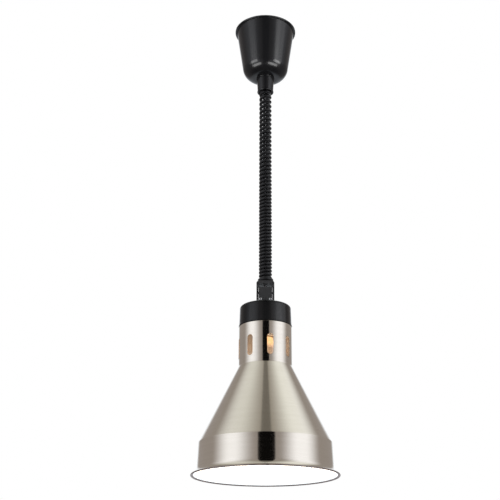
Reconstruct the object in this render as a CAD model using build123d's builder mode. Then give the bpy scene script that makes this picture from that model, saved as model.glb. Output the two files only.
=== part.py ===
"""Rise-and-fall heat lamp: a ceiling cup with a spring reel, a curly cord and a lamp head.

The origin is the centre of the ceiling face. +Z is up, so every height below it is negative.
X runs along the reel's axle and the pivot bolt, and -Y is the front.
"""

import os
from math import cos, radians, sin

from build123d import *

# ---- Driving dimensions, in millimetres ----------------------------------------------

# Ceiling plate and reel frame
SHEET = 2.0                      # steel sheet of the plate and the frame
PLATE_RADIUS = 46.0
CEILING_SLOT_X = 30.0            # ceiling screw slots, left and right of the centre
CEILING_SLOT_LENGTH = 12.0
CEILING_SLOT_WIDTH = 5.0
FRAME_HALF = 15.0                # half the frame's width over its cheeks
FRAME_FRONT, FRAME_BACK = -14.0, 34.0
FRAME_BOTTOM = -80.0

# Reel
WIRE_RADIUS = 0.75               # suspension wire
DRUM_RADIUS = 15.0
FLANGE_RADIUS = 22.0
DRUM_HALF = 11.5                 # half the drum's width over its flanges
AXLE_RADIUS = 3.0
AXLE_Y = DRUM_RADIUS + WIRE_RADIUS   # so that the wire leaves the drum on the lamp's axis
AXLE_Z = -34.0
RUNNING = 0.05                   # radial clearance of a turning fit
SCREWED = 0.02                   # radial clearance of a thread in its hole

# Canopy
CUP_LIP_RADIUS, CUP_LIP_HEIGHT = 55.0, 3.2
CUP_TOP_RADIUS = 52.2
CUP_CORNER_RADIUS = 37.7         # where the tapered wall would meet the flat bottom
CUP_BOTTOM = -98.8
CUP_ROUND = 22.0
CUP_WALL = 2.4
NECK_BOTTOM = -127.6
NECK_BORE = 12.3
GUIDE_OUTER, GUIDE_INNER = 12.0, 11.4
GUIDE_BOTTOM = -124.0

# Curly cord
FLEX_RADIUS = 2.75               # the round flex that the cord is coiled from
COIL_RADIUS = 11.0               # outside of the coil
COIL_HOLLOW = 2.0
COIL_LINE = COIL_RADIUS - FLEX_RADIUS

# Hanger and pivot
BRIDGE_TOP, BRIDGE_BOTTOM = -488.3, -493.8
YOKE_HALF = 14.75
EAR = 3.2                        # thickness of each ear
EAR_HALF_DEPTH = 8.0
BRIDGE_HALF_DEPTH = 11.0
EAR_BOTTOM = -525.0
PIVOT_Z = -507.0
BOLT_RADIUS = 2.0
BOLT_GROOVE = 7.2                # height of the groove that holds the bolt's head
LUG_HALF = 11.2
LUG_TOP = -499.2
LUG_FRONT, LUG_BACK = -7.5, 10.0
COVER_FRONT = -10.0
TAIL_Y = 5.6                     # the flex passes behind the pivot bolt

# Lamp cap
CAP_TOP = -531.2
CAP_TOP_RADIUS = 41.7
CAP_LOW_RADIUS = 42.6
CAP_LIP_RADIUS, CAP_LIP_HEIGHT = 43.4, 2.0
CAP_ROUND = 4.6
CAP_WALL = 2.0
CAP_ROOF = 3.0
BOSS_CIRCLE, BOSS_COUNT, BOSS_PHASE = 34.0, 3, 30.0
BOSS_RADIUS, BOSS_BORE, BOSS_DEPTH = 4.0, 1.45, 12.0

# Shade
SHADE_TOP = -566.2
SHADE_WALL = 0.8
SHADE_HOLE = 26.0
NECK_RADIUS = 43.2
NECK_END = -632.8
BAND_TOP_RADIUS, BAND_TOP = 105.1, -755.5
BAND_LOW_RADIUS, BAND_LOW = 106.7, -794.5
RIM_RADIUS, RIM_BOTTOM = 115.6, -805.6
BEAD_RADIUS = 1.2
SHADE_ROUNDS = (1.6, 3.0, 2.2)   # of the shoulder, the neck's end and the band's top
SLOT_COUNT = 8
SLOT_WIDTH, SLOT_HEIGHT = 10.0, 34.0
SLOT_Z = -604.9
SLOT_PHASE = 10.4                # degrees from the front to the nearest slot

# Lampholder and lamp
HOLDER_TOP, HOLDER_BOTTOM = -540.0, -584.0
HOLDER_RADIUS = 21.0
HOLDER_BORE = 15.0
HOLDER_FLOOR = -556.0
NIPPLE_RADIUS, NIPPLE_BORE = 5.0, 3.4
THREAD_PITCH = 3.6
LAMP_TIP = -562.0                # the lamp's contact
BASE_BOTTOM = -588.0
GLASS_FACE = -743.0
GLASS_RADIUS = 62.5
GLASS_WALL = 1.0

AXLE_LINE = Axis((0, AXLE_Y, AXLE_Z), (1, 0, 0))
AXLE_PLANE = Plane(origin=(0, AXLE_Y, AXLE_Z), x_dir=(1, 0, 0), z_dir=(0, -1, 0))
UPRIGHT = (Align.CENTER, Align.CENTER, Align.MIN)

# ---- Shapes that repeat; each one works on the part that is open --------------------


def rod(radius, low, high, x=0.0, y=0.0, mode=Mode.ADD):
    """An upright cylinder between two heights."""
    with Locations((x, y, low)):
        Cylinder(radius, high - low, align=UPRIGHT, mode=mode)


def tube(outer, inner, low, high, x=0.0, y=0.0):
    """An upright ring between two heights."""
    rod(outer, low, high, x, y)
    rod(inner, low, high, x, y, mode=Mode.SUBTRACT)


def cross_rod(radius, left, right, y, z, mode=Mode.ADD):
    """A cylinder along X."""
    with Locations(Plane(origin=(left, y, z), x_dir=(0, 1, 0), z_dir=(1, 0, 0))):
        Cylinder(radius, right - left, align=UPRIGHT, mode=mode)


def depth_rod(radius, front, back, x, z, mode=Mode.ADD):
    """A cylinder along Y."""
    with Locations(Plane(origin=(x, front, z), x_dir=(1, 0, 0), z_dir=(0, 1, 0))):
        Cylinder(radius, back - front, align=UPRIGHT, mode=mode)


def block(x_span, y_span, z_span, mode=Mode.ADD):
    """A box between two corners."""
    spans = (x_span, y_span, z_span)
    with Locations(tuple((low + high) / 2 for low, high in spans)):
        Box(*(high - low for low, high in spans), mode=mode)


def turned(points, mode=Mode.ADD):
    """A closed outline of (radius, height) points turned about the Z axis."""
    with BuildSketch(Plane.XZ) as section:
        with BuildLine():
            Polyline(*points, close=True)
        make_face()
    revolve(section.sketch, axis=Axis.Z, mode=mode)


def ring(left, right, inner, outer):
    """The outline of a ring on the axle."""
    return [(left, inner), (left, outer), (right, outer), (right, inner)]


def turned_on_axle(points, mode=Mode.ADD):
    """A closed outline of (x, radius) points turned about the reel's axle."""
    with BuildSketch(AXLE_PLANE) as section:
        with BuildLine():
            Polyline(*points, close=True)
        make_face()
    revolve(section.sketch, axis=AXLE_LINE, mode=mode)


def bowl(top_radius, corner_radius, top, bottom, rounding, mode=Mode.ADD):
    """A solid tapered bowl with a rounded lower corner."""
    with BuildSketch(Plane.XZ) as section:
        with BuildLine():
            FilletPolyline((top_radius, top), (corner_radius, bottom), (0, bottom), radius=rounding)
            Polyline((0, bottom), (0, top), (top_radius, top))
        make_face()
    revolve(section.sketch, axis=Axis.Z, mode=mode)


def cord_run(points, radius, bend):
    """A round cord along straight runs joined by arcs."""
    with BuildLine() as route:
        if len(points) > 2:
            FilletPolyline(*points, radius=bend)
        else:
            Line(*points)
    start = Plane(origin=route.line @ 0, z_dir=route.line % 0)
    with BuildSketch(start) as section:
        Circle(radius)
    sweep(section.sketch, path=route.line)


def thread_edge(low, high, crest, root):
    """Points up a rounded thread form, one crest for each pitch."""
    turns = int((high - low) / THREAD_PITCH)
    step = (high - low) / (2 * turns)
    return [(crest if i % 2 else root, low + i * step) for i in range(2 * turns + 1)]


def finish(builder, label):
    """Label a finished piece and write it."""
    builder.part.label = label
    export_step(builder.part, f"parts/{label}.step")


os.makedirs("parts", exist_ok=True)

# ---- Ceiling side -------------------------------------------------------------------

CABLE_HOLE = (-27.0, -22.0)
CABLE_HOLE_RADIUS = 7.0
FRAME_SCREWS = ((0.0, -9.0), (0.0, 28.0))
FRAME_SCREW_RADIUS = 2.0
FRAME_SCREW_HEAD, FRAME_SCREW_HEAD_HEIGHT = 3.6, 2.2
FRAME_TOP = -SHEET
WEB_TOP = FRAME_BOTTOM + SHEET
WEB_BACK = -FRAME_FRONT          # behind it the cheeks' lower edge rises
CHEEK_BACK_BOTTOM = FRAME_BOTTOM + 22
CHEEK_INSIDE = FRAME_HALF - SHEET
EYELET_RADIUS = 2.2
WIRE_HOLE = WIRE_RADIUS + 0.3
FLEX_HOLE = FLEX_RADIUS + 0.35
GUIDE_SCREWS = ((11.2, 11.0), (-11.2, -11.0))
GUIDE_SCREW_RADIUS = 1.25
GUIDE_SCREW_HEAD, GUIDE_SCREW_HEAD_HEIGHT = 1.45, 1.4
BUSH_RADIUS, BUSH_COLLAR = 4.5, 6.5
CASE_SCREW_REACH = 19.5          # from the axle to the two screws of the spring case
CASE_SCREW_RADIUS = 1.2

with BuildPart() as ceiling_plate:
    rod(PLATE_RADIUS, -SHEET, 0.0)
    with BuildSketch(Plane.XY):
        with Locations((-CEILING_SLOT_X, 0), (CEILING_SLOT_X, 0)):
            SlotOverall(CEILING_SLOT_LENGTH, CEILING_SLOT_WIDTH)
        with Locations(CABLE_HOLE):
            Circle(CABLE_HOLE_RADIUS)
    extrude(amount=-SHEET, mode=Mode.SUBTRACT)
    for x, y in FRAME_SCREWS:
        rod(FRAME_SCREW_RADIUS, -SHEET, 0.0, x, y, mode=Mode.SUBTRACT)
    chamfer(ceiling_plate.edges().filter_by(GeomType.CIRCLE).group_by(SortBy.RADIUS)[-1], 0.4)
finish(ceiling_plate, "ceiling_plate")

with BuildPart() as reel_frame:
    with BuildSketch(Plane.YZ.offset(-FRAME_HALF)):
        with BuildLine():
            Polyline(
                (FRAME_FRONT, FRAME_TOP),
                (FRAME_BACK, FRAME_TOP),
                (FRAME_BACK, CHEEK_BACK_BOTTOM),
                (WEB_BACK, FRAME_BOTTOM),
                (FRAME_FRONT, FRAME_BOTTOM),
                close=True,
            )
        make_face()
    extrude(amount=2 * FRAME_HALF)
    between = (-CHEEK_INSIDE, CHEEK_INSIDE)
    block(between, (FRAME_FRONT, FRAME_BACK), (WEB_TOP, FRAME_TOP - SHEET), mode=Mode.SUBTRACT)
    block(between, (WEB_BACK, FRAME_BACK), (FRAME_BOTTOM, WEB_TOP), mode=Mode.SUBTRACT)
    cross_rod(BUSH_RADIUS, -FRAME_HALF, FRAME_HALF, AXLE_Y, AXLE_Z, mode=Mode.SUBTRACT)
    for x, y in FRAME_SCREWS:
        rod(FRAME_SCREW_RADIUS, FRAME_TOP - SHEET, FRAME_TOP, x, y, mode=Mode.SUBTRACT)
    for x, y in GUIDE_SCREWS:
        rod(GUIDE_SCREW_RADIUS, FRAME_BOTTOM, WEB_TOP, x, y, mode=Mode.SUBTRACT)
    rod(EYELET_RADIUS, FRAME_BOTTOM, WEB_TOP, mode=Mode.SUBTRACT)
    rod(FLEX_HOLE, FRAME_BOTTOM, WEB_TOP, 0, -COIL_LINE, mode=Mode.SUBTRACT)
    for z in (AXLE_Z - CASE_SCREW_REACH, AXLE_Z + CASE_SCREW_REACH):
        cross_rod(CASE_SCREW_RADIUS, CHEEK_INSIDE, FRAME_HALF, AXLE_Y, z, mode=Mode.SUBTRACT)
finish(reel_frame, "reel_frame")

with BuildPart() as frame_screws:
    for x, y in FRAME_SCREWS:
        rod(FRAME_SCREW_RADIUS - SCREWED, FRAME_TOP - SHEET, -0.3, x, y)
        rod(FRAME_SCREW_HEAD, FRAME_TOP - SHEET - FRAME_SCREW_HEAD_HEIGHT, FRAME_TOP - SHEET, x, y)
finish(frame_screws, "frame_screws")

with BuildPart() as axle_bushes:
    for side in (-1, 1):
        cheek, outside = side * CHEEK_INSIDE, side * FRAME_HALF
        turned_on_axle([
            (outside, AXLE_RADIUS + RUNNING),
            (outside, BUSH_RADIUS),
            (cheek, BUSH_RADIUS),
            (cheek, BUSH_COLLAR),
            (cheek - side, BUSH_COLLAR),
            (cheek - side, AXLE_RADIUS + RUNNING),
        ])
finish(axle_bushes, "axle_bushes")

CASE_RADIUS, CASE_WALL = 17.0, 1.0
CASE_END = 24.5
CASE_LUG_RADIUS, CASE_LUG = 3.0, 1.2
CASE_SCREW_HEAD, CASE_SCREW_HEAD_HEIGHT = 2.3, 1.7

with BuildPart() as spring_case:
    turned_on_axle([
        (FRAME_HALF, CASE_RADIUS - CASE_WALL),
        (FRAME_HALF, CASE_RADIUS),
        (CASE_END - 1, CASE_RADIUS),
        (CASE_END, CASE_RADIUS - 1),
        (CASE_END, 0),
        (CASE_END - CASE_WALL, 0),
        (CASE_END - CASE_WALL, CASE_RADIUS - CASE_WALL),
    ])
    for side in (-1, 1):
        near, z = AXLE_Z + side * (CASE_RADIUS - CASE_WALL / 2), AXLE_Z + side * CASE_SCREW_REACH
        block((FRAME_HALF, FRAME_HALF + CASE_LUG), (AXLE_Y - CASE_LUG_RADIUS, AXLE_Y + CASE_LUG_RADIUS),
              (min(z, near), max(z, near)))
        cross_rod(CASE_LUG_RADIUS, FRAME_HALF, FRAME_HALF + CASE_LUG, AXLE_Y, z)
        cross_rod(CASE_SCREW_RADIUS + 0.1, FRAME_HALF, FRAME_HALF + CASE_LUG, AXLE_Y, z,
                  mode=Mode.SUBTRACT)
finish(spring_case, "spring_case")

with BuildPart() as case_screws:
    lug_face = FRAME_HALF + CASE_LUG
    for z in (AXLE_Z - CASE_SCREW_REACH, AXLE_Z + CASE_SCREW_REACH):
        cross_rod(CASE_SCREW_RADIUS - SCREWED, CHEEK_INSIDE + 0.2, lug_face, AXLE_Y, z)
        cross_rod(CASE_SCREW_HEAD, lug_face, lug_face + CASE_SCREW_HEAD_HEIGHT, AXLE_Y, z)
finish(case_screws, "case_screws")

SPRING_LEFT, SPRING_WIDTH = 16.4, 6.2
SPRING_STRIP = 0.5
SPRING_START = 4.4
SPRING_PITCH = 1.5
SPRING_HALF_TURNS = 13

with BuildPart() as power_spring:
    with BuildSketch(Plane(origin=(SPRING_LEFT, AXLE_Y, AXLE_Z), x_dir=(0, 1, 0), z_dir=(1, 0, 0))):
        with BuildLine():
            for half in range(SPRING_HALF_TURNS):
                odd = half % 2
                CenterArc(
                    center=(odd * SPRING_PITCH / 2, 0),
                    radius=SPRING_START + half * SPRING_PITCH / 2,
                    start_angle=180 * odd,
                    arc_size=180,
                )
            offset(amount=SPRING_STRIP, side=Side.LEFT, closed=True)
        make_face()
    extrude(amount=SPRING_WIDTH)
finish(power_spring, "power_spring")

with BuildPart() as wire_guide:
    tube(EYELET_RADIUS, WIRE_HOLE, FRAME_BOTTOM, WEB_TOP)
    tube(EYELET_RADIUS + 1, WIRE_HOLE, WEB_TOP, WEB_TOP + 1.2)
finish(wire_guide, "wire_guide")

GUIDE_FLANGE = FRAME_BOTTOM - SHEET

with BuildPart() as guide_tube:
    block((-FRAME_HALF, FRAME_HALF), (FRAME_FRONT, WEB_BACK), (GUIDE_FLANGE, FRAME_BOTTOM))
    rod(GUIDE_OUTER, GUIDE_BOTTOM, FRAME_BOTTOM)
    rod(GUIDE_INNER, GUIDE_BOTTOM, FRAME_BOTTOM, mode=Mode.SUBTRACT)
    for x, y in GUIDE_SCREWS:
        rod(GUIDE_SCREW_RADIUS, GUIDE_FLANGE, FRAME_BOTTOM, x, y, mode=Mode.SUBTRACT)
    fillet(guide_tube.edges().filter_by(Axis.Z).group_by(SortBy.LENGTH)[0], 3)
finish(guide_tube, "guide_tube")

with BuildPart() as guide_screws:
    for x, y in GUIDE_SCREWS:
        rod(GUIDE_SCREW_RADIUS - SCREWED, GUIDE_FLANGE, WEB_TOP + 1.5, x, y)
        rod(GUIDE_SCREW_HEAD, GUIDE_FLANGE - GUIDE_SCREW_HEAD_HEIGHT, GUIDE_FLANGE, x, y)
finish(guide_screws, "guide_screws")

BLOCK_HALF = 14.0
BLOCK_FRONT, BLOCK_BACK = -38.0, -24.0
BLOCK_BOTTOM, POLE_FOOT = -16.0, -12.0
POLE_X = (-9.0, 0.0, 9.0)
POLE_HALF = 3.4
POLE_Z, POLE_BORE = -10.0, 1.6
POLE_SCREW_Y = (-34.5, -27.5)
POLE_SCREW_HOLE, POLE_SCREW_RADIUS = 2.0, 1.9
POLE_SCREW_FOOT = BLOCK_BOTTOM + 1.0
BLOCK_SCREW = (4.5, -31.0)
BLOCK_SCREW_HOLE = 1.5

with BuildPart() as terminal_block:
    block((-BLOCK_HALF, BLOCK_HALF), (BLOCK_FRONT, BLOCK_BACK), (POLE_FOOT, -SHEET))
    for x in POLE_X:
        block((x - POLE_HALF, x + POLE_HALF), (BLOCK_FRONT, BLOCK_BACK), (BLOCK_BOTTOM, POLE_FOOT))
    fillet(terminal_block.edges().filter_by(Axis.Y).group_by(Axis.Z)[0], 0.8)
    for x in POLE_X:
        depth_rod(POLE_BORE, BLOCK_FRONT, BLOCK_BACK, x, POLE_Z, mode=Mode.SUBTRACT)
        for y in POLE_SCREW_Y:
            rod(POLE_SCREW_HOLE, BLOCK_BOTTOM, POLE_Z, x, y, mode=Mode.SUBTRACT)
    rod(BLOCK_SCREW_HOLE, BLOCK_BOTTOM, -SHEET, *BLOCK_SCREW, mode=Mode.SUBTRACT)
finish(terminal_block, "terminal_block")

with BuildPart() as terminal_screws:
    for x in POLE_X:
        for y in POLE_SCREW_Y:
            rod(POLE_SCREW_RADIUS, POLE_SCREW_FOOT, POLE_Z - POLE_BORE, x, y)
            block((x - POLE_SCREW_RADIUS, x + POLE_SCREW_RADIUS), (y - 0.3, y + 0.3),
                  (POLE_SCREW_FOOT, POLE_SCREW_FOOT + 0.7), mode=Mode.SUBTRACT)
finish(terminal_screws, "terminal_screws")

with BuildPart() as block_screw:
    rod(BLOCK_SCREW_HOLE - 0.05, POLE_FOOT, -SHEET, *BLOCK_SCREW)
    rod(BLOCK_SCREW_HOLE - 0.45, POLE_FOOT - 1.4, POLE_FOOT, *BLOCK_SCREW)
finish(block_screw, "block_screw")

GRIP_LOW, GRIP_HIGH = WEB_TOP, WEB_TOP + 7.0
GRIP_MIDDLE = (GRIP_LOW + GRIP_HIGH) / 2
GRIP_SPLIT = 0.35                # half the gap between the two halves
GRIP_FRONT, GRIP_BACK = -13.0, -3.5
GRIP_HALF = 9.6
GRIP_SCREW_X = 6.5
GRIP_SCREW_RADIUS = 1.2
GRIP_SCREW_HEAD, GRIP_SCREW_HEAD_HEIGHT = 2.2, 1.6

with BuildPart() as cord_grip:
    for front, back in ((GRIP_FRONT, -COIL_LINE - GRIP_SPLIT), (-COIL_LINE + GRIP_SPLIT, GRIP_BACK)):
        block((-GRIP_HALF, GRIP_HALF), (front, back), (GRIP_LOW, GRIP_HIGH))
    rod(FLEX_RADIUS, GRIP_LOW, GRIP_HIGH, 0, -COIL_LINE, mode=Mode.SUBTRACT)
    for x in (-GRIP_SCREW_X, GRIP_SCREW_X):
        depth_rod(GRIP_SCREW_RADIUS, GRIP_FRONT, GRIP_BACK, x, GRIP_MIDDLE, mode=Mode.SUBTRACT)
finish(cord_grip, "cord_grip")

with BuildPart() as grip_screws:
    for x in (-GRIP_SCREW_X, GRIP_SCREW_X):
        depth_rod(GRIP_SCREW_RADIUS - SCREWED, GRIP_FRONT, GRIP_BACK, x, GRIP_MIDDLE)
        depth_rod(GRIP_SCREW_HEAD, GRIP_FRONT - GRIP_SCREW_HEAD_HEIGHT, GRIP_FRONT, x, GRIP_MIDDLE)
finish(grip_screws, "grip_screws")

TAIL_FRONT, TAIL_TOP = -19.0, -24.0
TAIL_BEND_LOW, TAIL_BEND_HIGH = -60.0, -44.0
TAIL_BEND = 14.0

with BuildPart() as supply_tail:
    cord_run([
        (0, -COIL_LINE, FRAME_BOTTOM),
        (0, -COIL_LINE, TAIL_BEND_LOW),
        (0, TAIL_FRONT, TAIL_BEND_HIGH),
        (0, TAIL_FRONT, TAIL_TOP),
    ], FLEX_RADIUS, TAIL_BEND)
finish(supply_tail, "supply_tail")

CORE_RADIUS, CORE_BEND = 0.8, 3.0
CORE_SPREAD = 0.2                # of the poles' spacing, where the cores leave the flex

with BuildPart() as tail_cores:
    for x in POLE_X:
        cord_run([
            (x * CORE_SPREAD, TAIL_FRONT, TAIL_TOP),
            (x, TAIL_FRONT, POLE_Z),
            (x, BLOCK_BACK - 2, POLE_Z),
        ], CORE_RADIUS, CORE_BEND)
finish(tail_cores, "tail_cores")

# ---- The cord and the wire between the ceiling side and the hanger --------------------

WIRE_TOP = AXLE_Z - 8.0
FERRULE_BOTTOM = BRIDGE_BOTTOM - 3.5

with BuildPart() as curly_cord:
    tube(COIL_RADIUS, COIL_HOLLOW, BRIDGE_TOP, FRAME_BOTTOM)
finish(curly_cord, "curly_cord")

with BuildPart() as suspension_wire:
    rod(WIRE_RADIUS, FERRULE_BOTTOM + 0.3, WIRE_TOP)
finish(suspension_wire, "suspension_wire")

# ---- Reel ---------------------------------------------------------------------------

FLANGE_INSIDE = DRUM_HALF - 1.5
WEIGHT_HOLES, WEIGHT_HOLE_CIRCLE, WEIGHT_HOLE_RADIUS = 6, 9.2, 2.6

with BuildPart() as reel_drum:
    turned_on_axle([
        (-DRUM_HALF, AXLE_RADIUS),
        (-DRUM_HALF, FLANGE_RADIUS),
        (-FLANGE_INSIDE, FLANGE_RADIUS),
        (-FLANGE_INSIDE, DRUM_RADIUS),
        (FLANGE_INSIDE, DRUM_RADIUS),
        (FLANGE_INSIDE, FLANGE_RADIUS),
        (DRUM_HALF, FLANGE_RADIUS),
        (DRUM_HALF, AXLE_RADIUS),
    ])
    with BuildSketch(Plane.YZ.offset(-DRUM_HALF)):
        with Locations((AXLE_Y, AXLE_Z)):
            with PolarLocations(WEIGHT_HOLE_CIRCLE, WEIGHT_HOLES):
                Circle(WEIGHT_HOLE_RADIUS)
    extrude(amount=2 * DRUM_HALF, mode=Mode.SUBTRACT)
finish(reel_drum, "reel_drum")

WINDINGS = 10

with BuildPart() as wound_wire:
    pitch = 2 * WIRE_RADIUS
    with BuildSketch(AXLE_PLANE) as windings:
        with Locations((0, DRUM_RADIUS + WIRE_RADIUS / 2)):
            Rectangle((WINDINGS - 1) * pitch, WIRE_RADIUS)
        with GridLocations(pitch, 0, WINDINGS, 1):
            with Locations((0, DRUM_RADIUS + WIRE_RADIUS)):
                Circle(WIRE_RADIUS)
    revolve(windings.sketch, axis=AXLE_LINE)
finish(wound_wire, "wound_wire")

AXLE_LEFT, AXLE_RIGHT = -17.8, 23.0
AXLE_SLOT_START = 17.0           # the spring's inner end sits in this slot
CLIP_LEFT, CLIP_RIGHT = -16.85, -16.15
CLIP_INNER, CLIP_OUTER = 2.5, 5.2

with BuildPart() as reel_axle:
    cross_rod(AXLE_RADIUS, AXLE_LEFT, AXLE_RIGHT, AXLE_Y, AXLE_Z)
    chamfer(reel_axle.edges().filter_by(GeomType.CIRCLE), 0.4)
    block((AXLE_SLOT_START, AXLE_RIGHT), (AXLE_Y - 0.4, AXLE_Y + 0.4),
          (AXLE_Z - AXLE_RADIUS, AXLE_Z + AXLE_RADIUS), mode=Mode.SUBTRACT)
    turned_on_axle(ring(CLIP_LEFT - RUNNING, CLIP_RIGHT + RUNNING, CLIP_INNER, AXLE_RADIUS + 1),
                   mode=Mode.SUBTRACT)
finish(reel_axle, "reel_axle")

DISC_INNER, DISC_OUTER, DISC_THICKNESS = 13.0, 20.0, 1.2

with BuildPart() as friction_disc:
    turned_on_axle(ring(-DRUM_HALF - DISC_THICKNESS, -DRUM_HALF, DISC_INNER, DISC_OUTER))
finish(friction_disc, "friction_disc")

with BuildPart() as axle_clip:
    turned_on_axle(ring(CLIP_LEFT, CLIP_RIGHT, CLIP_INNER, CLIP_OUTER))
    block((CLIP_LEFT, CLIP_RIGHT), (AXLE_Y - 1.6, AXLE_Y + 1.6), (AXLE_Z, AXLE_Z + CLIP_OUTER),
          mode=Mode.SUBTRACT)
finish(axle_clip, "axle_clip")

# ---- Canopy -------------------------------------------------------------------------

CUP_FLOOR = CUP_BOTTOM + CUP_WALL
CUP_HOLE = 15.9
NECK_FLANGE_TOP = CUP_FLOOR + 2
SLEEVE_TOP_RADIUS, SLEEVE_LOW_RADIUS = 15.6, 13.8
SLEEVE_RING_RADIUS, SLEEVE_RING_TOP = 14.5, -125.1
NECK_SCREW_Z = -110.0
NECK_SCREW_HOLE = 1.5
NECK_SCREW_FACE, NECK_SCREW_END = 15.2, 17.4
NECK_SCREW_HEAD = 2.6

with BuildPart() as canopy_cup:
    bowl(CUP_TOP_RADIUS, CUP_CORNER_RADIUS, 0.0, CUP_BOTTOM, CUP_ROUND)
    tube(CUP_LIP_RADIUS, CUP_TOP_RADIUS - 1, -CUP_LIP_HEIGHT, 0.0)
    bowl(CUP_TOP_RADIUS - CUP_WALL, CUP_CORNER_RADIUS - CUP_WALL, 0.0, CUP_FLOOR,
         CUP_ROUND - CUP_WALL, mode=Mode.SUBTRACT)
    rod(CUP_HOLE, CUP_BOTTOM, CUP_FLOOR, mode=Mode.SUBTRACT)
    fillet(canopy_cup.edges().filter_by(GeomType.CIRCLE).group_by(SortBy.RADIUS)[-1], 0.8)
finish(canopy_cup, "canopy_cup")

with BuildPart() as canopy_neck:
    turned([
        (NECK_BORE, NECK_FLANGE_TOP),
        (CUP_HOLE + 2, NECK_FLANGE_TOP),
        (CUP_HOLE + 2, CUP_FLOOR),
        (SLEEVE_TOP_RADIUS, CUP_FLOOR),
        (SLEEVE_TOP_RADIUS, CUP_BOTTOM),
        (SLEEVE_LOW_RADIUS, SLEEVE_RING_TOP),
        (SLEEVE_RING_RADIUS, SLEEVE_RING_TOP - 0.4),
        (SLEEVE_RING_RADIUS, NECK_BOTTOM + 0.4),
        (SLEEVE_RING_RADIUS - 0.4, NECK_BOTTOM),
        (NECK_BORE, NECK_BOTTOM),
    ])
    depth_rod(NECK_SCREW_HOLE, NECK_BORE - 1, NECK_SCREW_FACE, 0, NECK_SCREW_Z, mode=Mode.SUBTRACT)
finish(canopy_neck, "canopy_neck")

with BuildPart() as neck_screw:
    depth_rod(NECK_SCREW_HOLE - SCREWED, NECK_BORE, NECK_SCREW_FACE, 0, NECK_SCREW_Z)
    depth_rod(NECK_SCREW_HEAD, NECK_SCREW_FACE, NECK_SCREW_END, 0, NECK_SCREW_Z)
    fillet(neck_screw.edges().group_by(Axis.Y)[-1], 0.6)
    block((-NECK_SCREW_HEAD, NECK_SCREW_HEAD), (NECK_SCREW_END - 0.7, NECK_SCREW_END),
          (NECK_SCREW_Z - 0.35, NECK_SCREW_Z + 0.35), mode=Mode.SUBTRACT)
finish(neck_screw, "neck_screw")

# ---- Hanger -------------------------------------------------------------------------

EAR_INNER = YOKE_HALF - EAR
GROOVE_FLOOR = -YOKE_HALF + 2.2
YOKE_SHOULDER, EAR_CORNER = 3.6, 5.0
NUT_RADIUS = 3.6
BOLT_HEAD = 3.4                  # from the axis to the flats of the bolt's head
BUSH_OUTER = 4.0

with BuildPart() as hanger_yoke:
    with BuildSketch(Plane.XZ) as front_view:
        with Locations((0, (BRIDGE_TOP + EAR_BOTTOM) / 2)):
            Rectangle(2 * YOKE_HALF, BRIDGE_TOP - EAR_BOTTOM)
        fillet(front_view.vertices().group_by(Axis.Y)[-1], YOKE_SHOULDER)
        with Locations((0, (BRIDGE_BOTTOM + EAR_BOTTOM) / 2)):
            Rectangle(2 * EAR_INNER, BRIDGE_BOTTOM - EAR_BOTTOM, mode=Mode.SUBTRACT)
    extrude(amount=EAR_HALF_DEPTH, both=True)
    fillet(hanger_yoke.edges().filter_by(Axis.X).group_by(Axis.Z)[0], EAR_CORNER)
    block((-EAR_INNER, EAR_INNER), (-BRIDGE_HALF_DEPTH, BRIDGE_HALF_DEPTH),
          (BRIDGE_BOTTOM, BRIDGE_TOP))
    block((-YOKE_HALF, GROOVE_FLOOR), (-BRIDGE_HALF_DEPTH, BRIDGE_HALF_DEPTH),
          (PIVOT_Z - BOLT_GROOVE / 2, PIVOT_Z + BOLT_GROOVE / 2), mode=Mode.SUBTRACT)
    cross_rod(BOLT_RADIUS + RUNNING, -YOKE_HALF, 0, 0, PIVOT_Z, mode=Mode.SUBTRACT)
    cross_rod(NUT_RADIUS, 0, YOKE_HALF, 0, PIVOT_Z, mode=Mode.SUBTRACT)
    rod(WIRE_HOLE, BRIDGE_BOTTOM, BRIDGE_TOP, mode=Mode.SUBTRACT)
    rod(BUSH_OUTER, BRIDGE_BOTTOM, BRIDGE_TOP, 0, TAIL_Y, mode=Mode.SUBTRACT)
finish(hanger_yoke, "hanger_yoke")

with BuildPart() as pivot_bolt:
    with BuildSketch(Plane(origin=(-YOKE_HALF, 0, PIVOT_Z), x_dir=(0, 1, 0), z_dir=(1, 0, 0))):
        RegularPolygon(BOLT_HEAD, 6, major_radius=False)
    extrude(amount=GROOVE_FLOOR + YOKE_HALF)
    cross_rod(BOLT_RADIUS, GROOVE_FLOOR, YOKE_HALF - 0.2, 0, PIVOT_Z)
finish(pivot_bolt, "pivot_bolt")

with BuildPart() as pivot_nut:
    cross_rod(NUT_RADIUS, EAR_INNER, YOKE_HALF, 0, PIVOT_Z)
    cross_rod(BOLT_RADIUS + SCREWED, EAR_INNER, YOKE_HALF, 0, PIVOT_Z, mode=Mode.SUBTRACT)
finish(pivot_nut, "pivot_nut")

FERRULE_RADIUS = 2.4

with BuildPart() as wire_ferrule:
    rod(FERRULE_RADIUS, FERRULE_BOTTOM, BRIDGE_BOTTOM)
    rod(WIRE_RADIUS + 0.03, FERRULE_BOTTOM + 0.2, BRIDGE_BOTTOM, mode=Mode.SUBTRACT)
finish(wire_ferrule, "wire_ferrule")

with BuildPart() as cord_bush:
    tube(BUSH_OUTER, FLEX_RADIUS, BRIDGE_BOTTOM, BRIDGE_TOP, 0, TAIL_Y)
finish(cord_bush, "cord_bush")

CORD_TAIL_END = -504.5
LEAD_START = -509.5              # the flex goes on here, on the head's side of the pivot

with BuildPart() as cord_tail:
    rod(FLEX_RADIUS, CORD_TAIL_END, BRIDGE_TOP, 0, TAIL_Y)
finish(cord_tail, "cord_tail")

# ---- Lamp head ----------------------------------------------------------------------

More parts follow.
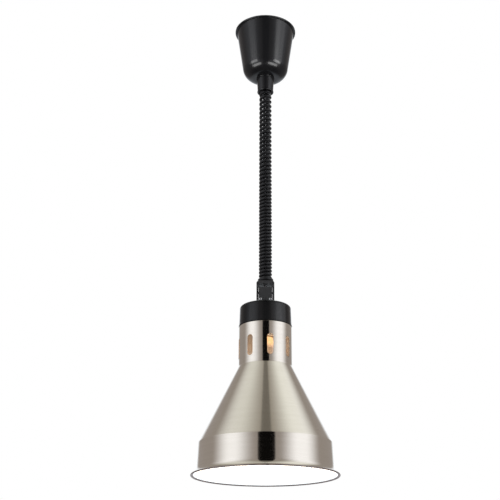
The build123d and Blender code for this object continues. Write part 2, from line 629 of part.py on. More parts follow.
LUG_BASE = CAP_TOP + 5.2
LUG_ROUND, LUG_EDGE = 2.0, 0.8
POCKET_HALF, POCKET_FRONT, POCKET_BACK = 6.5, -5.2, 8.2
NOTCH_HALF, NOTCH_BOTTOM = 3.4, PIVOT_Z - 5
COVER_SCREW_X, COVER_SCREW_Z = 8.0, -520.6
COVER_SCREW_RADIUS, COVER_SCREW_END = 1.25, 2.0
COVER_SCREW_HEAD, COVER_SCREW_HEAD_HEIGHT = 2.1, 1.4

with BuildPart() as pivot_lug:
    block((-LUG_HALF, LUG_HALF), (LUG_FRONT, LUG_BACK), (CAP_TOP, LUG_TOP))
    fillet(pivot_lug.edges().filter_by(Axis.X).group_by(Axis.Z)[-1].sort_by(Axis.Y)[-1], LUG_ROUND)
    block((-POCKET_HALF, POCKET_HALF), (POCKET_FRONT, POCKET_BACK), (LUG_BASE, LUG_TOP),
          mode=Mode.SUBTRACT)
    block((-NOTCH_HALF, NOTCH_HALF), (POCKET_BACK, LUG_BACK), (NOTCH_BOTTOM, LUG_TOP),
          mode=Mode.SUBTRACT)
    cross_rod(BOLT_RADIUS + RUNNING, -LUG_HALF, LUG_HALF, 0, PIVOT_Z, mode=Mode.SUBTRACT)
    rod(NIPPLE_RADIUS + SCREWED, CAP_TOP, LUG_BASE, mode=Mode.SUBTRACT)
    for x in (-COVER_SCREW_X, COVER_SCREW_X):
        depth_rod(COVER_SCREW_RADIUS + SCREWED, LUG_FRONT, COVER_SCREW_END + 1, x, COVER_SCREW_Z,
                  mode=Mode.SUBTRACT)
finish(pivot_lug, "pivot_lug")

with BuildPart() as lug_cover:
    block((-LUG_HALF, LUG_HALF), (COVER_FRONT, LUG_FRONT), (CAP_TOP, LUG_TOP))
    fillet(lug_cover.edges().group_by(Axis.Y)[0].filter_by(Axis.Z), LUG_EDGE)
    fillet(lug_cover.edges().filter_by(Axis.X).group_by(Axis.Z)[-1].sort_by(Axis.Y)[0], LUG_EDGE)
    for x in (-COVER_SCREW_X, COVER_SCREW_X):
        depth_rod(COVER_SCREW_RADIUS + 0.1, COVER_FRONT, LUG_FRONT, x, COVER_SCREW_Z,
                  mode=Mode.SUBTRACT)
finish(lug_cover, "lug_cover")

with BuildPart() as lug_screws:
    for x in (-COVER_SCREW_X, COVER_SCREW_X):
        depth_rod(COVER_SCREW_RADIUS, COVER_FRONT, COVER_SCREW_END, x, COVER_SCREW_Z)
        depth_rod(COVER_SCREW_HEAD, COVER_FRONT - COVER_SCREW_HEAD_HEIGHT, COVER_FRONT, x,
                  COVER_SCREW_Z)
    fillet(lug_screws.edges().group_by(Axis.Y)[0], 0.9)
finish(lug_screws, "lug_screws")

NIPPLE_TOP, NIPPLE_BOTTOM = LUG_BASE + 2.5, HOLDER_TOP - 6
CAP_CEILING = CAP_TOP - CAP_ROOF
WASHER_RADIUS, WASHER_BOTTOM = 9.5, CAP_CEILING - 1.2
LOCK_NUT_HALF, LOCK_NUT_HEIGHT = 7.5, 4.0

with BuildPart() as nipple:
    tube(NIPPLE_RADIUS, NIPPLE_BORE, NIPPLE_BOTTOM, NIPPLE_TOP)
    chamfer(nipple.edges().filter_by(GeomType.CIRCLE).group_by(SortBy.RADIUS)[-1], 0.5)
finish(nipple, "nipple")

with BuildPart() as lock_washer:
    tube(WASHER_RADIUS, NIPPLE_RADIUS + 0.2, WASHER_BOTTOM, CAP_CEILING)
finish(lock_washer, "lock_washer")

with BuildPart() as lock_nut:
    with BuildSketch(Plane.XY.offset(WASHER_BOTTOM - LOCK_NUT_HEIGHT)):
        RegularPolygon(LOCK_NUT_HALF, 6, major_radius=False)
        Circle(NIPPLE_RADIUS + SCREWED, mode=Mode.SUBTRACT)
    extrude(amount=LOCK_NUT_HEIGHT)
finish(lock_nut, "lock_nut")

with BuildPart() as lamp_cap:
    with BuildSketch(Plane.XZ):
        with BuildLine():
            FilletPolyline((0, CAP_TOP), (CAP_TOP_RADIUS, CAP_TOP),
                           (CAP_LOW_RADIUS, SHADE_TOP + CAP_LIP_HEIGHT), radius=CAP_ROUND)
            Polyline(
                (CAP_LOW_RADIUS, SHADE_TOP + CAP_LIP_HEIGHT),
                (CAP_LIP_RADIUS, SHADE_TOP + CAP_LIP_HEIGHT - 0.4),
                (CAP_LIP_RADIUS, SHADE_TOP),
                (CAP_LOW_RADIUS - CAP_WALL, SHADE_TOP),
                (CAP_TOP_RADIUS - CAP_WALL, CAP_CEILING),
                (0, CAP_CEILING),
                (0, CAP_TOP),
            )
        make_face()
    revolve(axis=Axis.Z)
    rod(NIPPLE_RADIUS + 0.1, CAP_CEILING, CAP_TOP, mode=Mode.SUBTRACT)
    with PolarLocations(BOSS_CIRCLE, BOSS_COUNT, start_angle=BOSS_PHASE):
        with Locations((0, 0, SHADE_TOP)):
            Cylinder(BOSS_RADIUS, CAP_CEILING - SHADE_TOP, align=UPRIGHT)
            Cylinder(BOSS_BORE, BOSS_DEPTH, align=UPRIGHT, mode=Mode.SUBTRACT)
finish(lamp_cap, "lamp_cap")

with BuildPart() as shade:
    with BuildSketch(Plane.XZ):
        with BuildLine():
            FilletPolyline(
                (SHADE_HOLE, SHADE_TOP),
                (NECK_RADIUS, SHADE_TOP),
                (NECK_RADIUS, NECK_END),
                (BAND_TOP_RADIUS, BAND_TOP),
                (BAND_LOW_RADIUS, BAND_LOW),
                radius=SHADE_ROUNDS,
            )
            TangentArc(
                (BAND_LOW_RADIUS, BAND_LOW),
                (RIM_RADIUS - BEAD_RADIUS, RIM_BOTTOM + BEAD_RADIUS),
                tangent=(BAND_LOW_RADIUS - BAND_TOP_RADIUS, BAND_LOW - BAND_TOP),
            )
            offset(amount=SHADE_WALL, side=Side.RIGHT, closed=True)
        make_face()
        with Locations((RIM_RADIUS - BEAD_RADIUS, RIM_BOTTOM + BEAD_RADIUS)):
            Circle(BEAD_RADIUS)
    revolve(axis=Axis.Z)
    for i in range(SLOT_COUNT):
        turn = radians(-90 + SLOT_PHASE + i * 360 / SLOT_COUNT)
        outwards = (cos(turn), sin(turn), 0)
        with BuildSketch(Plane(origin=(0, 0, SLOT_Z), x_dir=(0, 0, 1), z_dir=outwards)):
            SlotOverall(SLOT_HEIGHT, SLOT_WIDTH)
        extrude(amount=NECK_RADIUS + 5, mode=Mode.SUBTRACT)
    with PolarLocations(BOSS_CIRCLE, BOSS_COUNT, start_angle=BOSS_PHASE):
        with Locations((0, 0, SHADE_TOP - 2)):
            Cylinder(BOSS_BORE + 0.15, 4, align=UPRIGHT, mode=Mode.SUBTRACT)
finish(shade, "shade")

SHADE_SCREW_HEAD, SHADE_SCREW_HEAD_HEIGHT = 2.8, 2.0

with BuildPart() as shade_screws:
    with PolarLocations(BOSS_CIRCLE, BOSS_COUNT, start_angle=BOSS_PHASE):
        with Locations((0, 0, SHADE_TOP - SHADE_WALL)):
            Cylinder(BOSS_BORE - 0.03, BOSS_DEPTH - 1, align=UPRIGHT)
        with Locations((0, 0, SHADE_TOP - SHADE_WALL - SHADE_SCREW_HEAD_HEIGHT)):
            Cylinder(SHADE_SCREW_HEAD, SHADE_SCREW_HEAD_HEIGHT, align=UPRIGHT)
finish(shade_screws, "shade_screws")

# ---- Lampholder ---------------------------------------------------------------------

CHAMBER_RADIUS = 12.0
CHAMBER_TOP, CHAMBER_FLOOR = HOLDER_TOP - 8, HOLDER_FLOOR + 3
HOLDER_SCREW_X, HOLDER_SCREW_HOLE = 7.0, 1.55
HOLDER_SCREW_HEAD, HOLDER_SCREW_HEAD_HEIGHT = 2.8, 1.8
HOLDER_TOP_RADIUS = 9.5

with BuildPart() as lampholder_dome:
    turned([
        (NIPPLE_RADIUS + SCREWED, HOLDER_TOP),
        (HOLDER_TOP_RADIUS, HOLDER_TOP),
        (HOLDER_RADIUS - 3, HOLDER_TOP - 4),
        (HOLDER_RADIUS, HOLDER_TOP - 10),
        (HOLDER_RADIUS, HOLDER_FLOOR),
        (0, HOLDER_FLOOR),
        (0, CHAMBER_FLOOR),
        (CHAMBER_RADIUS, CHAMBER_FLOOR),
        (CHAMBER_RADIUS, CHAMBER_TOP),
        (NIPPLE_RADIUS + SCREWED, CHAMBER_TOP),
    ])
    for x in (-HOLDER_SCREW_X, HOLDER_SCREW_X):
        rod(HOLDER_SCREW_HOLE, HOLDER_FLOOR, CHAMBER_FLOOR, x, 0, mode=Mode.SUBTRACT)
finish(lampholder_dome, "lampholder_dome")

with BuildPart() as lampholder_body:
    turned([
        (HOLDER_BORE, HOLDER_FLOOR),
        (HOLDER_RADIUS, HOLDER_FLOOR),
        (HOLDER_RADIUS, HOLDER_BOTTOM + 1),
        (HOLDER_RADIUS - 1, HOLDER_BOTTOM),
        (HOLDER_BORE, HOLDER_BOTTOM),
    ])
finish(lampholder_body, "lampholder_body")

SHELL_RADIUS = HOLDER_BORE - 0.1
SHELL_CREST, SHELL_ROOT = 13.75, 14.4
SHELL_LOW, SHELL_HIGH = HOLDER_BOTTOM + 1, HOLDER_FLOOR - 0.4

with BuildPart() as thread_shell:
    turned(
        [(SHELL_RADIUS, SHELL_HIGH), (SHELL_RADIUS, SHELL_LOW)]
        + thread_edge(SHELL_LOW, SHELL_HIGH, SHELL_CREST, SHELL_ROOT)
    )
finish(thread_shell, "thread_shell")

CONTACT_STRIP, CONTACT_HALF = 0.5, 3.0

with BuildPart() as centre_contact:
    with BuildSketch(Plane.XZ.offset(-CONTACT_HALF)):
        with BuildLine():
            Polyline(
                (10.5, HOLDER_FLOOR),
                (2.0, HOLDER_FLOOR),
                (-1.5, LAMP_TIP + 1.0),
                (-4.5, LAMP_TIP + 1.6),
            )
            offset(amount=CONTACT_STRIP, side=Side.LEFT, closed=True)
        make_face()
    extrude(amount=2 * CONTACT_HALF)
    rod(HOLDER_SCREW_HOLE, HOLDER_FLOOR - 1, HOLDER_FLOOR, HOLDER_SCREW_X, 0, mode=Mode.SUBTRACT)
finish(centre_contact, "centre_contact")

with BuildPart() as holder_screws:
    for x in (-HOLDER_SCREW_X, HOLDER_SCREW_X):
        rod(HOLDER_SCREW_HOLE - SCREWED, HOLDER_FLOOR - 1.4, CHAMBER_FLOOR, x, 0)
        rod(HOLDER_SCREW_HEAD, CHAMBER_FLOOR, CHAMBER_FLOOR + HOLDER_SCREW_HEAD_HEIGHT, x, 0)
finish(holder_screws, "holder_screws")

LEAD_BEND_Z, LEAD_BEND = -519.0, 6.0

with BuildPart() as lamp_lead:
    cord_run([
        (0, TAIL_Y, LEAD_START),
        (0, 0, LEAD_BEND_Z),
        (0, 0, CHAMBER_TOP - 1),
    ], FLEX_RADIUS, LEAD_BEND)
finish(lamp_lead, "lamp_lead")

# ---- Lamp ---------------------------------------------------------------------------

CREST, ROOT = 13.2, 12.5
THROAT = CREST - 0.9             # the glass inside the base
THROAT_TOP = BASE_BOTTOM + 3
BASE_TOP = -566.5
THREAD_LOW = BASE_BOTTOM + 5
INSULATOR_RADIUS = 6.5
CONTACT_RADIUS, CONTACT_TOP, CONTACT_BOTTOM = 4.8, LAMP_TIP, LAMP_TIP - 1.2
GLASS_NECK = 20.0
GLASS_WAIST = -632.0
GLASS_WIDEST = -716.0
BROW_RADIUS = 18.0
STEM_END = -612.0
STEM_TOP_RADIUS, STEM_WAIST_RADIUS, STEM_END_RADIUS = 11.0, 6.0, 3.0
FILAMENT_Z = -664.0
FILAMENT_RADIUS, FILAMENT_WIRE = 13.0, 1.0
SUPPORT_RADIUS = 0.6


def lamp_body(inset, mode=Mode.ADD):
    """The lamp's outline, moved inwards by inset, turned about the Z axis."""
    throat_radius = THROAT - inset
    neck_radius = GLASS_NECK - inset
    with BuildSketch(Plane.XZ) as section:
        with BuildLine():
            throat = Line((throat_radius, THROAT_TOP), (throat_radius, BASE_BOTTOM))
            shoulder = Spline(
                throat @ 1, (neck_radius, BASE_BOTTOM - 12), tangents=[(0.6, -1), (0, -1)]
            )
            neck = Line(shoulder @ 1, (neck_radius, GLASS_WAIST - inset / 2))
            flare = Spline(
                neck @ 1, (GLASS_RADIUS - inset, GLASS_WIDEST), tangents=[(0, -1), (0, -1)]
            )
            brow = JernArc(start=flare @ 1, tangent=(0, -1), radius=BROW_RADIUS - inset, arc_size=-72)
            face = Spline(brow @ 1, (0, GLASS_FACE + inset), tangents=[brow % 1, (-1, 0)])
            Polyline(face @ 1, (0, THROAT_TOP), throat @ 0)
        make_face()
    revolve(section.sketch, axis=Axis.Z, mode=mode)


with BuildPart() as bulb_glass:
    lamp_body(0)
    lamp_body(GLASS_WALL, mode=Mode.SUBTRACT)
finish(bulb_glass, "bulb_glass")

with BuildPart() as bulb_base:
    turned(
        [(THROAT, BASE_TOP), (THROAT, THROAT_TOP), (CREST, THROAT_TOP)]
        + thread_edge(THREAD_LOW, BASE_TOP, CREST, ROOT)
    )
finish(bulb_base, "bulb_base")

with BuildPart() as base_insulator:
    turned([(0, BASE_TOP), (ROOT, BASE_TOP), (INSULATOR_RADIUS, CONTACT_BOTTOM), (0, CONTACT_BOTTOM)])
finish(base_insulator, "base_insulator")

with BuildPart() as base_contact:
    rod(CONTACT_RADIUS, CONTACT_BOTTOM, CONTACT_TOP)
    fillet(base_contact.edges().group_by(Axis.Z)[-1], 0.8)
finish(base_contact, "base_contact")

with BuildPart() as glass_stem:
    turned([
        (0, THROAT_TOP),
        (STEM_TOP_RADIUS, THROAT_TOP),
        (STEM_WAIST_RADIUS, BASE_BOTTOM - 8),
        (STEM_END_RADIUS, STEM_END),
        (0, STEM_END),
    ])
    for side in (-1, 1):
        cord_run([(side * 2, 0, STEM_END + 1), (side * FILAMENT_RADIUS, 0, FILAMENT_Z)],
                 SUPPORT_RADIUS, 0)
finish(glass_stem, "glass_stem")

with BuildPart() as filament:
    with Locations((0, 0, FILAMENT_Z)):
        Torus(FILAMENT_RADIUS, FILAMENT_WIRE)
finish(filament, "filament")
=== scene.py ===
"""Rise-and-fall heat lamp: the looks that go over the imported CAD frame, in metres.

The origin is the centre of the ceiling face, +Z is up and -Y is the front.
"""

from math import acos, atan2, ceil, cos, hypot, pi, radians, sin, tan

import bmesh
import bpy
from mathutils import Matrix, Vector


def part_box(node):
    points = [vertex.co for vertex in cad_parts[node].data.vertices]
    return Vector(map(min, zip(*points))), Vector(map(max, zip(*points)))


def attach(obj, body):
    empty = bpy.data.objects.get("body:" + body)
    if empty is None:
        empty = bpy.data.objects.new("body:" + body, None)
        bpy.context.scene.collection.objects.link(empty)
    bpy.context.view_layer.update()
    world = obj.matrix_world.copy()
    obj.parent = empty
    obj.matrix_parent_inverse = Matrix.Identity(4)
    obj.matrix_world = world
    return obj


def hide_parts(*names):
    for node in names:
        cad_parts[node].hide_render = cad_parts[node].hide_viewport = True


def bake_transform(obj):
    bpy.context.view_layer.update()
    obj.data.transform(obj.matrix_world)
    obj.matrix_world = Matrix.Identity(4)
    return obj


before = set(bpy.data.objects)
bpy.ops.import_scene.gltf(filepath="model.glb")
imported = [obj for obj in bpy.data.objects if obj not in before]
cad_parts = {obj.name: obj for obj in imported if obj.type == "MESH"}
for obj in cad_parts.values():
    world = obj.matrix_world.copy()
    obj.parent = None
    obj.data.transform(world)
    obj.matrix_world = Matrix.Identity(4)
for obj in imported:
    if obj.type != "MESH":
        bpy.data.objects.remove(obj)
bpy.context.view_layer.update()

scene = bpy.context.scene

# ---- Camera --------------------------------------------------------------------------

CAMERA_PLACE = (0.0, -1.515, -1.0206)
CAMERA_PITCH = 21.28             # degrees above the horizon
CAMERA_LENS, CAMERA_SENSOR = 69.6, 36.0  # mm
CAMERA_SHIFT = -0.0308           # the lamp stands a little right of the middle
CAMERA_REACH = 50.0


def make_camera():
    data = bpy.data.cameras.new("camera")
    data.lens = CAMERA_LENS
    data.sensor_width = CAMERA_SENSOR
    data.shift_x = CAMERA_SHIFT
    data.clip_end = CAMERA_REACH
    camera = bpy.data.objects.new("camera", data)
    camera.location = CAMERA_PLACE
    camera.rotation_euler = (radians(90 + CAMERA_PITCH), 0.0, 0.0)
    scene.collection.objects.link(camera)
    scene.camera = camera


make_camera()

# ---- Mesh making ---------------------------------------------------------------------

ON_AXIS = 1e-7
SHARP_EDGE = radians(38)


def piece_from(name, graph, smooth=True):
    """A new object with this bmesh as its mesh; the bmesh is freed."""
    mesh = bpy.data.meshes.new(name)
    bmesh.ops.recalc_face_normals(graph, faces=graph.faces[:])
    graph.to_mesh(mesh)
    graph.free()
    if smooth:
        mesh.shade_smooth()
        mesh.set_sharp_from_angle(angle=SHARP_EDGE)
    piece = bpy.data.objects.new(name, mesh)
    scene.collection.objects.link(piece)
    return piece


def bridge(graph, rings, closed):
    """Faces between each ring of corners and the next; a ring of one corner is a point."""
    steps = max(len(ring) for ring in rings)
    pairs = list(zip(rings, rings[1:]))
    if closed:
        pairs.append((rings[-1], rings[0]))
    made = []
    for k, (one, other) in enumerate(pairs):
        for i in range(steps):
            j = (i + 1) % steps
            corners = (one[i % len(one)], one[j % len(one)], other[j % len(other)], other[i % len(other)])
            corners = list(dict.fromkeys(corners))
            if len(corners) > 2:
                face = graph.faces.new(corners)
                made.append((k, face))
    return made


def ring_of(graph, radius, height, steps):
    if radius < ON_AXIS:
        return [graph.verts.new((0.0, 0.0, height))]
    turns = (2 * pi * i / steps for i in range(steps))
    return [graph.verts.new((radius * cos(a), radius * sin(a), height)) for a in turns]


def lathe(name, outline, steps, closed=True, second_from=None):
    """An outline of (radius, height) turned about Z; faces past second_from get material 1."""
    graph = bmesh.new()
    rings = [ring_of(graph, radius, height, steps) for radius, height in outline]
    for k, face in bridge(graph, rings, closed):
        if second_from is not None and k >= second_from:
            face.material_index = 1
    return piece_from(name, graph)


def rounded(corners, closed=True, step=radians(9)):
    """An outline through (radius, height, rounding) corners, each rounded corner as an arc."""
    points = []
    count = len(corners)
    for i, (x, z, rounding) in enumerate(corners):
        here = Vector((x, z))
        if rounding == 0 or (not closed and i in (0, count - 1)):
            points.append((x, z))
            continue
        before = (Vector(corners[i - 1][:2]) - here).normalized()
        after = (Vector(corners[(i + 1) % count][:2]) - here).normalized()
        opening = acos(max(-1.0, min(1.0, before.dot(after))))
        centre = here + (before + after).normalized() * (rounding / sin(opening / 2))
        start = here + before * (rounding / tan(opening / 2)) - centre
        turn = pi - opening
        if before.x * after.y - before.y * after.x > 0:
            turn = -turn
        parts = max(2, ceil(abs(turn) / step))
        for k in range(parts + 1):
            arm = Matrix.Rotation(turn * k / parts, 2) @ start
            points.append(tuple(centre + arm))
    return points


def tangent_arc(start, along, end, parts=10):
    """Points of the arc that leaves start in the direction along and reaches end."""
    start, end = Vector(start), Vector(end)
    along = Vector(along).normalized()
    normal = Vector((-along.y, along.x))
    chord = end - start
    reach = chord.length_squared / (2 * chord.dot(normal))
    centre = start + normal * reach
    arm = start - centre
    turn = 2 * atan2(along.x * chord.y - along.y * chord.x, along.dot(chord))
    return [tuple(centre + Matrix.Rotation(turn * k / parts, 2) @ arm) for k in range(parts + 1)]


def inset(points, wall):
    """The same open outline moved sideways by wall, to the right of its direction."""
    moved = []
    for i, here in enumerate(points):
        before = Vector(points[max(i - 1, 0)])
        after = Vector(points[min(i + 1, len(points) - 1)])
        along = (after - before).normalized()
        moved.append((here[0] + along.y * wall, here[1] - along.x * wall))
    return moved


def tube_along(name, path, radius, sides, section=None):
    """A closed tube that follows a path; returns the piece and each corner's place on the path."""
    graph = bmesh.new()
    path = [Vector(point) for point in path]
    side = Vector((1, 0, 0))
    rings, share = [], []
    for i, here in enumerate(path):
        along = (path[min(i + 1, len(path) - 1)] - path[max(i - 1, 0)]).normalized()
        side = (side - along * side.dot(along)).normalized()
        other = along.cross(side)
        ring = []
        for k in range(sides):
            turn = 2 * pi * k / sides
            reach = radius if section is None else section(turn, i)
            corner = here + (side * cos(turn) + other * sin(turn)) * reach
            ring.append(graph.verts.new(corner))
            share.append(i)
        rings.append(ring)
    bridge(graph, rings, closed=False)
    graph.faces.new(rings[0])
    graph.faces.new(list(reversed(rings[-1])))
    return piece_from(name, graph), share


def cut(piece, cutter, self_crossing=False):
    """Subtracts cutter from piece for good, and deletes cutter."""
    modifier = piece.modifiers.new("cut", "BOOLEAN")
    modifier.operation = "DIFFERENCE"
    modifier.solver = "EXACT"
    modifier.use_self = self_crossing
    modifier.object = cutter
    depsgraph = bpy.context.evaluated_depsgraph_get()
    mesh = bpy.data.meshes.new_from_object(piece.evaluated_get(depsgraph))
    piece.modifiers.clear()
    piece.data = mesh
    mesh.shade_smooth()
    mesh.set_sharp_from_angle(angle=SHARP_EDGE)
    bpy.data.objects.remove(cutter)


def spline_points(points, name):
    """Points read from the NURBS spline that has these control points."""
    curve = bpy.data.curves.new(name, "CURVE")
    curve.dimensions = "3D"
    spline = curve.splines.new("NURBS")
    spline.points.add(len(points) - 1)
    for target, point in zip(spline.points, points):
        target.co = (*point, 1.0)
    spline.order_u = 3
    spline.use_endpoint_u = True
    spline.resolution_u = 2
    holder = bpy.data.objects.new(name, curve)
    scene.collection.objects.link(holder)
    depsgraph = bpy.context.evaluated_depsgraph_get()
    depsgraph.update()
    mesh = bpy.data.meshes.new_from_object(holder.evaluated_get(depsgraph))
    path = [tuple(vertex.co) for vertex in mesh.vertices]
    bpy.data.objects.remove(holder)
    return path


# ---- The curly cord and the suspension wire --------------------------------------------

FLEX_RADIUS, FLEX_SIDES = 0.00275, 18
COIL_LINE = 0.00825              # from the axis to the middle of the flex
COIL_STEPS = 16                  # control points for each turn
HIDDEN_TURNS = 5                 # turns inside the guide tube
EASING_TURNS = 30                # turns over which the pitch falls
PITCH_TOP, PITCH_LOW = 0.0094, 0.0062
GRIP_DROPS = (0.0015, 0.0035)    # below the grip: the flex starts straight, then turns
BRIDGE_RISE = 0.0015             # above the bridge, where the flex drops into its hole
LAST_TURN_HEIGHT = 0.0085        # above the bridge, where the even turns end
BACK_OF_TURN = 0.99              # a turn whose sine is past this is at the back
LOOSE_LOOP = (                   # x, y and height above the bridge of the last, looser turn
    (0.0066, 0.0058, 0.0062),
    (0.0093, 0.0034, 0.0047),
    (0.0106, 0.0000, 0.0033),
    (0.0104, -0.0042, 0.0029),
    (0.0079, -0.0077, 0.0028),
    (0.0042, -0.0098, 0.0028),
    (0.0000, -0.0104, 0.0028),
    (-0.0042, -0.0096, 0.0028),
    (-0.0076, -0.0073, 0.0029),
    (-0.0096, -0.0037, 0.0031),
    (-0.0100, 0.0005, 0.0036),
    (-0.0087, 0.0043, 0.0044),
    (-0.0056, 0.0066, 0.0052),
    (-0.0022, 0.0067, 0.0053),
    (-0.0002, 0.0058, 0.0036),
)


def coil_route(top, bridge_top, exit_y):
    """Control points of the flex from the grip to the bridge, one helix with an uneven pitch."""
    reach = COIL_LINE / cos(pi / COIL_STEPS)
    points = [(0.0, -COIL_LINE, top), (0.0, -COIL_LINE, top - GRIP_DROPS[0])]
    height = top - GRIP_DROPS[1]
    turn, done = -pi / 2, 0.0
    while height > bridge_top + LAST_TURN_HEIGHT or sin(turn) < BACK_OF_TURN:
        points.append((reach * cos(turn), reach * sin(turn), height))
        eased = max(0.0, min(1.0, (done - HIDDEN_TURNS) / EASING_TURNS))
        height -= (PITCH_TOP + (PITCH_LOW - PITCH_TOP) * eased) / COIL_STEPS
        turn -= 2 * pi / COIL_STEPS
        done += 1 / COIL_STEPS
    points.append((reach * cos(turn), reach * sin(turn), height))
    points += [(x, y, bridge_top + z) for x, y, z in LOOSE_LOOP]
    points += [(0.0, exit_y, bridge_top + BRIDGE_RISE), (0.0, exit_y, bridge_top)]
    return points


def follow_both(piece):
    """Bakes a cord's object transform into its mesh."""
    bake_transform(piece)


def make_curly_cord():
    low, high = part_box("curly_cord")
    exit_y = sum(corner[1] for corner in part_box("cord_tail")) / 2
    path = spline_points(coil_route(high[2], low[2], exit_y), "coil_route")
    cord, share = tube_along("curly_cord_flex", path, FLEX_RADIUS, FLEX_SIDES)
    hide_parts("curly_cord")
    follow_both(cord)
    return cord


STRANDS = 6
STRAND_TWIST = 0.011             # one turn of the strands
STRAND_DEPTH = 0.16              # of the wire's radius, between two strands
WIRE_RINGS, WIRE_SIDES = 600, 24


def make_suspension_wire():
    low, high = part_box("suspension_wire")
    radius = (high[0] - low[0]) / 2
    drop = low[2] - high[2]
    path = [(0.0, 0.0, high[2] + drop * i / WIRE_RINGS) for i in range(WIRE_RINGS + 1)]

    def strands(turn, i):
        twist = turn - 2 * pi * (path[0][2] - path[i][2]) / STRAND_TWIST
        return radius * (1 - STRAND_DEPTH + STRAND_DEPTH * abs(cos(STRANDS / 2 * twist)))

    wire, share = tube_along("suspension_wire_rope", path, radius, WIRE_SIDES, strands)
    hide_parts("suspension_wire")
    follow_both(wire)
    return wire


curly_cord = make_curly_cord()
suspension_wire = make_suspension_wire()

# ---- Materials -----------------------------------------------------------------------


class Graph:
    """Short calls that add nodes to a node tree."""

    def __init__(self, tree):
        self.tree = tree

    def add(self, kind, *inputs, **settings):
        node = self.tree.nodes.new(kind)
        for key, value in settings.items():
            setattr(node, key, value)
        for socket, value in zip(node.inputs, inputs):
            self.feed(socket, value)
        return node

    def feed(self, socket, value):
        if isinstance(value, bpy.types.NodeSocket):
            self.tree.links.new(value, socket)
        else:
            socket.default_value = value

    def math(self, operation, *values):
        return self.add("ShaderNodeMath", *values, operation=operation).outputs[0]

    def smooth_step(self, value, low, high, start=0.0, end=1.0):
        node = self.add("ShaderNodeMapRange", value, low, high, start, end,
                        interpolation_type="SMOOTHSTEP")
        return node.outputs[0]

    def scaled(self, value, start, end):
        """Spreads the middle of a noise's range from start to end."""
        return self.add("ShaderNodeMapRange", value, 0.3, 0.7, start, end).outputs[0]

    def place(self):
        return self.add("ShaderNodeTexCoord").outputs["Object"]

    def noise(self, scale, detail, place=None):
        node = self.add("ShaderNodeTexNoise")
        self.feed(node.inputs["Vector"], place or self.place())
        node.inputs["Scale"].default_value = scale
        node.inputs["Detail"].default_value = detail
        return node.outputs["Fac"]

    def blend(self, factor, one, other):
        node = self.add("ShaderNodeMix", data_type="RGBA")
        self.feed(node.inputs["Factor"], factor)
        self.feed(node.inputs["A"], one)
        self.feed(node.inputs["B"], other)
        return node.outputs["Result"]

    def bump(self, height, distance, strength):
        node = self.add("ShaderNodeBump")
        self.feed(node.inputs["Strength"], strength)
        self.feed(node.inputs["Distance"], distance)
        self.feed(node.inputs["Height"], height)
        return node.outputs["Normal"]


def rgb(red, green, blue):
    return (red, green, blue, 1.0)


def principled(name, **settings):
    """A material, its graph and its Principled shader with these even values."""
    material = bpy.data.materials.new(name)
    material.use_nodes = True
    shader = material.node_tree.nodes["Principled BSDF"]
    for key, value in settings.items():
        shader.inputs[key.replace("_", " ")].default_value = value
    return material, Graph(material.node_tree), shader.inputs


def moulded_plastic(name, dark, light, rough, sheen_scale=240.0, specular=0.5,
                    grain_depth=0.00002):
    """Satin moulded plastic with a fine spark-eroded grain and faint flow marks."""
    material, graph, shader = principled(name, Specular_IOR_Level=specular)
    flow = graph.noise(22.0, 4.0)
    graph.feed(shader["Base Color"], graph.blend(flow, dark, light))
    wear = graph.noise(sheen_scale, 5.0)
    graph.feed(shader["Roughness"], graph.scaled(wear, rough - 0.03, rough + 0.04))
    grain = graph.noise(2600.0, 2.0)
    graph.feed(shader["Normal"], graph.bump(grain, grain_depth, 0.35))
    return material


def painted_metal(name, dark, light, rough, specular=0.5):
    """Enamel with a little orange peel, thin along its high spots."""
    material, graph, shader = principled(name, Specular_IOR_Level=specular)
    flow = graph.noise(60.0, 4.0)
    graph.feed(shader["Base Color"], graph.blend(flow, dark, light))
    graph.feed(shader["Roughness"], graph.scaled(graph.noise(300.0, 4.0), rough - 0.06, rough + 0.08))
    peel = graph.noise(900.0, 2.0)
    graph.feed(shader["Normal"], graph.bump(peel, 0.00004, 0.5))
    return material


def bare_metal(name, dark, light, rough, scale=180.0):
    """Plated or rolled metal with cloudy colour, handling marks and a fine grain."""
    material, graph, shader = principled(name, Metallic=1.0)
    cloud = graph.noise(scale, 5.0)
    graph.feed(shader["Base Color"], graph.blend(cloud, dark, light))
    wear = graph.noise(scale * 2.3, 4.0)
    graph.feed(shader["Roughness"], graph.scaled(wear, rough - 0.06, rough + 0.1))
    graph.feed(shader["Normal"], graph.bump(graph.noise(700.0, 3.0), 0.00002, 0.5))
    return material


def around_axis(graph):
    """The direction from the Z axis as x and y, and a length that grows along the wall."""
    parts = graph.add("ShaderNodeSeparateXYZ", graph.place()).outputs
    flat = graph.add("ShaderNodeCombineXYZ", parts[0], parts[1], 0.0).outputs[0]
    reach = graph.add("ShaderNodeVectorMath", flat, operation="LENGTH").outputs["Value"]
    along = graph.math("SUBTRACT", reach, parts[2])
    unit = graph.add("ShaderNodeVectorMath", flat, operation="NORMALIZE").outputs[0]
    return graph.add("ShaderNodeSeparateXYZ", unit).outputs, along


